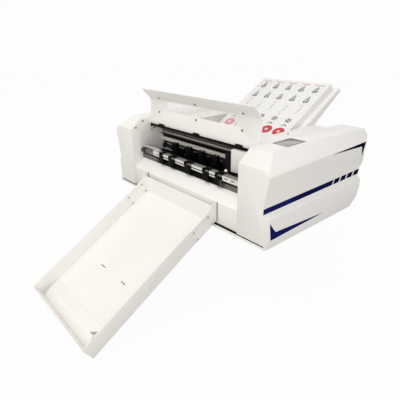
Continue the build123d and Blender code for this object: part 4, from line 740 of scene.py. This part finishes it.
def button(bm, foot, radius, height):
    """A low round head with a bevelled rim and a sunk middle, in mm."""
    made = bmesh.ops.create_circle(
        bm, cap_ends=True, segments=BUTTON_SIDES, radius=radius * MM,
        matrix=Matrix.Translation(foot),
    )
    face = made["verts"][0].link_faces[0]
    grown = bmesh.ops.extrude_face_region(bm, geom=[face])["geom"]
    caps = [g for g in grown if isinstance(g, bmesh.types.BMFace)]
    bmesh.ops.translate(bm, verts=caps[0].verts[:], vec=(0, 0, height * MM))
    bmesh.ops.inset_individual(
        bm, faces=caps, thickness=BUTTON_RIM * MM, depth=BUTTON_RIM / 2 * MM
    )
    bmesh.ops.inset_individual(bm, faces=caps, thickness=BUTTON_LAND_SHARE * radius * MM)
    bmesh.ops.translate(bm, verts=caps[0].verts[:], vec=(0, 0, -height / 2 * MM))


for index, across in enumerate(ARM_PLACES, start=1):
    arm = body_of(f"pinch_arm_{index}")
    bm = bmesh.new()
    for side in (-1, 1):
        coil(bm, point(across + side * SPRING_OFFSET, SPRING_DEPTH, SPRING_LOW))
    faced_outward(bm)
    to_piece(bm, f"arm_springs_{index}", arm, None, SPRING_STEEL_GLINT)
    bm = bmesh.new()
    for side in (-1, 1):
        foot = point(across + side * ARM_SCREW_OFFSET, ARM_SCREW_DEPTH, ARM_BLOCK_TOP)
        button(bm, foot, ARM_SCREW_RADIUS, ARM_SCREW_HEIGHT)
    faced_outward(bm)
    to_piece(bm, f"arm_screws_{index}", arm, None, OWN_FINISHES["tray_screws"])

# Navy film on the pods' sides: depths and heights in mm

FILM_GAP, FILM_WALL = 0.02 * MM, 0.15 * MM
STRIPE_LOW, STRIPE_HIGH, STRIPE_START, STRIPE_END = 96.7, 111.7, 0.6, 304.4
SLANT_COUNT, SLANT_START, SLANT_PITCH, SLANT_WIDTH, SLANT_LEAN = 4, 310.4, 37, 29, 7.0
UPPER_WEDGE = [(262, 199), (426, 192), (445, 157), (443, 205), (438, 204)]
LOWER_WEDGE = [(11, 75), (18, 25), (251, 30), (36, 44)]


def side_x(height):
    """How far out the pod's side is at a height, on the lobe, in the groove or above it."""
    if height > GROOVE_HIGH:
        return GROOVE_X + TOP_DRIFT * (height - GROOVE_HIGH) / (TOP_HEIGHT - GROOVE_HIGH)
    if height > GROOVE_LOW:
        return GROOVE_X
    return LOBE_X - TOE_INSET * max(0.0, TOE_HEIGHT - height) / TOE_HEIGHT


def film(name, side, outline, bend_at=None):
    """A cut shape of navy film on one pod's side, bent at a height where the side bends."""
    bm = bmesh.new()
    bm.faces.new([bm.verts.new(point(0, depth, height)) for depth, height in outline])
    if bend_at:
        bmesh.ops.bisect_plane(
            bm, geom=bm.verts[:] + bm.edges[:] + bm.faces[:], dist=1e-7,
            plane_co=(0, 0, bend_at), plane_no=(0, 0, 1),
        )
    for vert in bm.verts:
        vert.co.x = side * (side_x(vert.co.z) + FILM_GAP)
    thickened(bm, (side * FILM_WALL, 0, 0))
    faced_outward(bm)
    to_piece(bm, name, "case", None, FINISHES["navy_film"])


def stripe_part(start, end, lean):
    """The outline of a part of the stripe, with a leaning end and a start that may lean too."""
    return [
        (start, STRIPE_LOW), (end, STRIPE_LOW),
        (end + SLANT_LEAN, STRIPE_HIGH), (start + lean, STRIPE_HIGH),
    ]


for side, word in SIDES:
    film(f"{word}_stripe", side, stripe_part(STRIPE_START, STRIPE_END, 0))
    for index in range(SLANT_COUNT):
        start = SLANT_START + SLANT_PITCH * index
        outline = stripe_part(start, start + SLANT_WIDTH, SLANT_LEAN)
        film(f"{word}_slant_{index + 1}", side, outline)
    film(f"{word}_upper_wedge", side, UPPER_WEDGE)
    film(f"{word}_lower_wedge", side, LOWER_WEDGE, TOE_HEIGHT)

# Printed labels on the top sheet: a plain stock design, in mm and degrees on the sheet

INK_HEIGHT, INK_GRAIN = 0.04 * MM, 1500.0
ON_SHEET = Matrix.Translation(point(0, 195, 134)) @ Matrix.Rotation(FEED_SLOPE, 4, "X")

LEAF_SQUASH, LEAF_SIDES, LINE_WIDTH = 0.42, 8, 0.9
SPRIG_LENGTH, SPRIG_PAIRS, SPRIG_PITCH, SPRIG_FIRST = 34, 4, 7, -11
SPRIG_LEAF, SPRIG_TAPER, SPRIG_RISE, SPRIG_SPREAD = 6.2, 0.8, 3, 55
SPRIG_TIP, SPRIG_TIP_LEAF = 19, 4.4
FEATHER_LENGTH, FEATHER_LEAN, BARB_COUNT, BARB_PITCH, BARB_FIRST = 38, 74, 5, 7, -9
BARB_OFFSET, BARB_DRIFT, BARB_LENGTH, BARB_WIDTH, BARB_LEAN = 5.5, 0.4, 9, 0.8, 32
PETAL_COUNT, PETAL_REACH, PETAL_SIZE, PETAL_SQUASH = 6, 8, 5, 0.5
EYE_RADIUS, EYE_SIDES = 3, 12
PAIR_OFFSET, PAIR_LEAF, PAIR_SQUASH, PAIR_SPREAD = 5, 7, 0.4, 50
LABEL_RADIUS, CUT_WIDTH, LABEL_SIDES, LABEL_SQUASH = 27, 0.35, 28, 0.95
STAR_POINTS, STAR_RADIUS, STAR_WAIST_SHARE = 5, 8, 0.45


def inked(name, colour, roughness=0.35):
    """Printing ink with a fine grain of dots."""

    def make(nodes):
        dots = nodes.noise(nodes.place(), INK_GRAIN)
        return {
            "Base Color": nodes.blend(dots, *shades(colour, -0.12, 0.08)),
            "Roughness": roughness + 0.08 * dots,
        }

    return finish(name, make)


def mark_place(across, along, turn, stretch):
    """Where a mark lies, how far it is turned, and how it is stretched both ways."""
    return (
        Matrix.Translation((across * MM, along * MM, 0))
        @ Matrix.Rotation(math.radians(turn), 4, "Z")
        @ Matrix.Diagonal((*stretch, 1, 1))
    )


def spot(bm, across, along, radius, squash=1.0, turn=0.0, sides=12):
    """A filled round or leaf-shaped spot of ink. Its long axis is turned."""
    made = bmesh.ops.create_circle(
        bm, cap_ends=True, segments=sides, radius=radius * MM,
        matrix=mark_place(across, along, turn, (1, squash)),
    )
    return made["verts"][0].link_faces[0]


def ring(bm, across, along, radius, width, sides, squash=1.0):
    """A spot with its middle cut away, as a line drawn round it."""
    face = spot(bm, across, along, radius, squash, sides=sides)
    bmesh.ops.inset_individual(bm, faces=[face], thickness=width * MM, use_even_offset=True)
    bmesh.ops.delete(bm, geom=[face], context="FACES_ONLY")


def stroke(bm, across, along, length, width, turn=0.0):
    """A straight line of ink, from its middle."""
    place = mark_place(across, along, turn, (length / 2 * MM, width / 2 * MM))
    bmesh.ops.create_grid(bm, x_segments=1, y_segments=1, size=1.0, matrix=place)


def star(bm, across, along):
    """A pointed star that stands on two of its points."""
    face = spot(bm, across, along, STAR_RADIUS, turn=90, sides=2 * STAR_POINTS)
    centre = face.calc_center_median()
    for vert in list(face.verts)[1::2]:
        vert.co = centre + (vert.co - centre) * STAR_WAIST_SHARE


def leaf(bm, across, along, size, turn, squash=LEAF_SQUASH):
    """A spot in the shape of a leaf."""
    spot(bm, across, along, size, squash, turn, LEAF_SIDES)


def sprig(bm, across, along):
    """A stem with leaves in pairs and one at its tip."""
    stroke(bm, across, along, SPRIG_LENGTH, LINE_WIDTH, 90)
    for step in range(SPRIG_PAIRS):
        height = along + SPRIG_FIRST + SPRIG_PITCH * step + SPRIG_RISE
        size = SPRIG_LEAF - SPRIG_TAPER * step
        for side in (-1, 1):
            leaf(bm, across + side * size, height, size, 90 - side * SPRIG_SPREAD)
    leaf(bm, across, along + SPRIG_TIP, SPRIG_TIP_LEAF, 90)


def feather(bm, across, along):
    """A leaning stroke with short strokes on one side."""
    stroke(bm, across, along, FEATHER_LENGTH, LINE_WIDTH, FEATHER_LEAN)
    for step in range(BARB_COUNT):
        beside = across + BARB_OFFSET - BARB_DRIFT * step
        height = along + BARB_FIRST + BARB_PITCH * step
        stroke(bm, beside, height, BARB_LENGTH - step, BARB_WIDTH, BARB_LEAN)


def bloom(bm, across, along):
    """Petals round a ring."""
    for step in range(PETAL_COUNT):
        turn = 360 / PETAL_COUNT * step
        beside = across + PETAL_REACH * math.cos(math.radians(turn))
        height = along + PETAL_REACH * math.sin(math.radians(turn))
        leaf(bm, beside, height, PETAL_SIZE, turn, PETAL_SQUASH)
    ring(bm, across, along, EYE_RADIUS, LINE_WIDTH, EYE_SIDES)


def leaves(bm, across, along):
    """Two leaves that lean apart."""
    for side in (-1, 1):
        beside = across + side * PAIR_OFFSET
        leaf(bm, beside, along, PAIR_LEAF, 90 + side * PAIR_SPREAD, PAIR_SQUASH)


def label_edge(bm, across, along):
    """The fine line that a label is cut along."""
    ring(bm, across, along, LABEL_RADIUS, CUT_WIDTH, LABEL_SIDES, LABEL_SQUASH)


def repeated(draw, columns, rows, *values):
    """A mark at each crossing of some columns and rows."""
    return [(draw, across, along, *values) for across in columns for along in rows]


COLUMNS = (-114, -57, 0, 57, 114)
LABEL_ROWS = (376, 320, 264, 208, 98, 40)
BADGE_ROW, RED_BADGES, PINK_BADGES = 156, (64, 114), (-108, -54)
BADGE = (21, 0.9, 12, 24)
INKS = {
    "black_ink": (tone(16, 15, 17), [
        *repeated(sprig, COLUMNS, (376, 320)),
        *repeated(feather, COLUMNS, (264,)),
        *repeated(bloom, COLUMNS, (212,)),
        *repeated(sprig, COLUMNS, (98,)),
        *repeated(feather, COLUMNS, (40,)),
    ]),
    "red_ink": (tone(205, 40, 58), [
        *repeated(spot, RED_BADGES, (BADGE_ROW,), *BADGE),
        *repeated(stroke, COLUMNS, (405,), 36, 2.2),
        *repeated(stroke, COLUMNS[::2], (293,), 12, 1.6),
    ]),
    "pink_ink": (tone(222, 92, 140), [
        *repeated(spot, PINK_BADGES, (BADGE_ROW,), *BADGE),
        *repeated(spot, COLUMNS[1::2], (240,), 2.6),
    ]),
    "green_ink": (tone(92, 160, 84), [
        *repeated(leaves, COLUMNS, (188,)),
        (spot, 4, BADGE_ROW, 15, 0.5, 60, 12),
    ]),
    "cut_line": (tone(196, 194, 190), repeated(label_edge, COLUMNS, LABEL_ROWS)),
}


def to_print(bm, name, material, layers=1):
    """Flat shapes on the sheet become a thin layer of ink lying on it."""
    bmesh.ops.translate(bm, verts=bm.verts, vec=(0, 0, layers * INK_HEIGHT))
    laid_on(bm, ON_SHEET, INK_HEIGHT)
    to_piece(bm, name, "stack", None, material)


for name, (colour, marks) in INKS.items():
    bm = bmesh.new()
    for draw, *values in marks:
        draw(bm, *values)
    to_print(bm, name, inked(name, colour))
bm = bmesh.new()
for across in RED_BADGES + PINK_BADGES:
    star(bm, across, BADGE_ROW)
to_print(bm, "white_stars", inked("white_ink", tone(244, 240, 238)), layers=3)

# Upright plates between the pods, drawn from the side: depths and heights in mm

PLATE_EDGE = 0.3 * MM
CLOSER_INNER_X, CLOSER_WALL = 255.1, 1.4
CLOSER_OUTLINE = [
    (436.2, 234.4), (461, 233.9), (461, 125.4), (452, 117.3),
    (452, 97), (445, 97), (445, 60.7), (436.2, 36),
]
WELL_INNER_X, WELL_WALL = 178.0, 1.5
WELL_OUTLINE = [(232, 130), (232, 225.8), (430, 225.8), (430, 130)]


def upright_plate(name, slot, outline, side, inner_x, wall):
    """A plate of the case that stands on one side, with its wall toward the outside."""
    bm = bmesh.new()
    bm.faces.new(
        [bm.verts.new(point(side * inner_x, depth, height)) for depth, height in outline]
    )
    thickened(bm, (side * wall * MM, 0, 0))
    rounded(bm, bm.edges[:], PLATE_EDGE)
    faced_outward(bm)
    to_piece(bm, name, "case", slot)


# They close the pods where these reach past the rear panel
for side, word in SIDES:
    upright_plate(
        f"{word}_rear_closer", "pod_white", CLOSER_OUTLINE, side, CLOSER_INNER_X, CLOSER_WALL
    )

# They stand under the top cover's wings, beside the feed table
for side, word in SIDES:
    upright_plate(
        f"{word}_well_wall", "white_paint", WELL_OUTLINE, side, WELL_INNER_X, WELL_WALL
    )

# Painted shade: grey strips under the tray's floor slots, for the shade seen through them, in mm
# from the tray's hinge end

TRAY_SLOPE = math.radians(30.5)
ON_TRAY = Matrix.Translation(point(0, -6, 66)) @ Matrix.Rotation(TRAY_SLOPE, 4, "X")
FLOOR_SLOTS_ACROSS, FLOOR_SLOT_ALONG, TRAY_FLOOR_DROP = (-52, 62.5), 310, 46.9
SLOT_SHADE_SIZES = (32, 9, 0.3)

bm = bmesh.new()
for across in FLOOR_SLOTS_ACROSS:
    soft_box(bm, (across, -FLOOR_SLOT_ALONG, -TRAY_FLOOR_DROP), SLOT_SHADE_SIZES, 1)
bmesh.ops.transform(bm, matrix=ON_TRAY, verts=bm.verts)
# The strips take the screen frame's grey as painted shade
to_piece(bm, "tray_slot_shade", body_of("tray_body"), None, FINISHES["screen_frame"])

# Painted shade: a grey corner patch on the end stop where the hollow under the ramp is shaded, and
# two screws in the top cover

SHADE_PATCH_CORNERS = [(109.9, -381.9, -191.9), (126.4, -366.1, -190.2), (129.0, -379.8, -191.7)]
SHADE_PATCH_GAP, SHADE_PATCH_WALL, SHADE_PATCH_EDGE = 0.05, 0.5 * MM, 0.12 * MM
HOLLOW_SHADE = plastic("painted_hollow_shade", HOLLOW_SHADE_GREY, 0.9, RUBBER_GRAIN)

bm = bmesh.new()
bm.faces.new(
    [bm.verts.new(point(across, depth, up + SHADE_PATCH_GAP)) for across, depth, up in SHADE_PATCH_CORNERS]
)
thickened(bm, (0, 0, SHADE_PATCH_WALL))
rounded(bm, bm.edges[:], SHADE_PATCH_EDGE)
faced_outward(bm)
to_piece(bm, "end_stop_shade_patch", body_of("tray_end_stop"), None, HOLLOW_SHADE)

COVER_SCREW_X, COVER_SCREW_DEPTH, COVER_HEIGHT = 197.2, 269.6, 228.0
COVER_SCREW_RADIUS, COVER_SCREW_HEIGHT = 2.8, 1.2

bm = bmesh.new()
for side, _ in SIDES:
    foot = point(side * COVER_SCREW_X, COVER_SCREW_DEPTH, COVER_HEIGHT)
    button(bm, foot, COVER_SCREW_RADIUS, COVER_SCREW_HEIGHT)
faced_outward(bm)
to_piece(bm, "cover_screws", "case", None, FINISHES["screw_steel"])

# Marks on the rocker

ROCKER_X, ROCKER_LOW, ROCKER_HIGH, BEHIND_Y = -0.135, 0.0905, 0.0995, 0.4
MARK_GAP, MARK_HEIGHT = 0.01 * MM, 0.06 * MM
ROCKER_MARKS = {
    "rocker_mark_on": (ROCKER_HIGH, stroke, 3.8, 0.5, 90),
    "rocker_mark_off": (ROCKER_LOW, ring, 1.9, 0.45, 18),
}
WHITE_INK = inked("white_mark_ink", tone(232, 231, 228), 0.4)


def surface_at(node, start, direction):
    """A frame on a node's surface where a line meets it: X level, Z out of the surface."""
    found = bmesh.new()
    found.from_mesh(frame["nodes"][node].data)
    tree = BVHTree.FromBMesh(found)
    found.free()
    place, normal, _, _ = tree.ray_cast(Vector(start), Vector(direction))
    level = Vector((0, 0, 1)).cross(normal).normalized()
    up = normal.cross(level)
    turn = Matrix((level, up, normal)).transposed().to_4x4()
    return Matrix.Translation(place) @ turn


for name, (height, draw, *values) in ROCKER_MARKS.items():
    bm = bmesh.new()
    draw(bm, 0, 0, *values)
    face = surface_at("power_switch", (ROCKER_X, BEHIND_Y, height), (0, -1, 0))
    laid_on(bm, face @ Matrix.Translation((0, 0, MARK_GAP)), MARK_HEIGHT)
    to_piece(bm, name, body_of("power_switch"), None, WHITE_INK)

# Plated pins in the inlet, in mm

INLET_X, INLET_HEIGHT, PIN_PITCH, PIN_ROOT_Y = -185.0, 95.0, 7.0, 183.6
PIN_WIDTH, PIN_LENGTH, PIN_TALL, PLATING = 2.0, 12.0, 4.0, 0.12

bm = bmesh.new()
for step in (-1, 0, 1):
    middle = (INLET_X + step * PIN_PITCH, PIN_ROOT_Y + PIN_LENGTH / 2, INLET_HEIGHT)
    sizes = [size + 2 * PLATING for size in (PIN_WIDTH, PIN_LENGTH, PIN_TALL)]
    soft_box(bm, middle, sizes, 2)
to_piece(bm, "inlet_pins", "case", None, FINISHES["chrome"])

# Camera, at the photograph's place

IMAGE_SIDE, SENSOR_WIDTH = 400, 36.0
FOCAL_PIXELS = 377.878
YAW, PITCH, ROLL = (math.radians(angle) for angle in (49.464, 23.41, 0.715))
CAMERA_PLACE = Vector((869.45, -885.84, 498.12)) * MM

forward = Vector(
    (-math.sin(YAW) * math.cos(PITCH), math.cos(YAW) * math.cos(PITCH), -math.sin(PITCH))
)
level = Vector((math.cos(YAW), math.sin(YAW), 0))
down = forward.cross(level)
right = math.cos(ROLL) * level + math.sin(ROLL) * down
lower = -math.sin(ROLL) * level + math.cos(ROLL) * down
lens = bpy.data.cameras.new("camera")
lens.sensor_width = SENSOR_WIDTH
lens.lens = SENSOR_WIDTH * FOCAL_PIXELS / IMAGE_SIDE
lens.clip_start, lens.clip_end = 0.01, 50.0
camera = placed("camera", lens)
camera.matrix_world = Matrix(
    [(right[i], -lower[i], -forward[i], CAMERA_PLACE[i]) for i in range(3)] + [(0, 0, 0, 1)]
)
bpy.context.scene.camera = camera

# Floor, backdrop and lamps

FLOOR_TONE, FLOOR_GAP, FLOOR_REACH = tone(196, 194, 191), 0.5 * MM, 12.0
BACKDROP_SHARE, BACKDROP_GLOW = 0.94, 1.02
SKY_STRENGTH, SKY_SEEN = 0.72, 0.984
WHITE_LIGHT = solid((1.0, 1.0, 1.0))


def seen_ray(nodes):
    """1 for what the camera sees straight, in a gloss or through glass."""
    camera_ray, glossy_ray, transmission_ray = (
        nodes.add("ShaderNodeLightPath", output=ray)
        for ray in (CAMERA_RAY, GLOSSY_RAY, TRANSMISSION_RAY)
    )
    return camera_ray | glossy_ray | transmission_ray


bm = bmesh.new()
bmesh.ops.create_grid(bm, x_segments=1, y_segments=1, size=FLOOR_REACH)
bmesh.ops.translate(bm, verts=bm.verts, vec=(0, 0, cad_box[0].z - FLOOR_GAP))
floor_mesh = bpy.data.meshes.new("floor")
bm.to_mesh(floor_mesh)
bm.free()
floor = placed("floor", floor_mesh)
floor_material = bpy.data.materials.new("floor")
floor_material.use_nodes = True
nodes = Nodes(floor_material.node_tree)
matt = nodes.add("ShaderNodeBsdfDiffuse", None, {"Color": solid(FLOOR_TONE)})
glow = nodes.add(
    "ShaderNodeEmission", None, {"Color": WHITE_LIGHT, "Strength": BACKDROP_GLOW}
)
mixed = nodes.add(
    "ShaderNodeMixShader", None, {0: BACKDROP_SHARE * seen_ray(nodes), 1: matt, 2: glow}
)
nodes.add("ShaderNodeOutputMaterial", None, {"Surface": mixed})
floor_mesh.materials.append(floor_material)

world = bpy.data.worlds.new("studio")
world.use_nodes = True
bpy.context.scene.world = world
nodes = Nodes(world.node_tree)
strength = SKY_STRENGTH + (SKY_SEEN - SKY_STRENGTH) * seen_ray(nodes)
sky = nodes.add("ShaderNodeBackground", None, {"Color": WHITE_LIGHT, "Strength": strength})
nodes.add("ShaderNodeOutputWorld", None, {"Surface": sky})

# Each lamp's place, the point it looks at, its side in metres and its power in watts

WARM_WHITE = tone(255, 252, 247)
LAMPS = {
    "overhead_softbox": ((0.1, -0.5, 2.6), (0.0, 0.0, 0.1), 1.8, 4.0),
    "front_softbox": ((-0.4, -2.0, 2.8), (0.0, -0.1, 0.15), 1.6, 17.0),
    "camera_side_softbox": ((2.0, -2.3, 1.3), (0.0, -0.1, 0.15), 1.6, 20.0),
}
for name, (place, aim, side, power) in LAMPS.items():
    light = bpy.data.lights.new(name, "AREA")
    light.shape, light.size = "SQUARE", side
    light.energy, light.color = power, WARM_WHITE
    softbox = placed(name, light)
    softbox.location = place
    softbox.rotation_euler = (Vector(aim) - Vector(place)).to_track_quat("-Z", "Y").to_euler()

bpy.context.scene.view_settings.view_transform = "Standard"
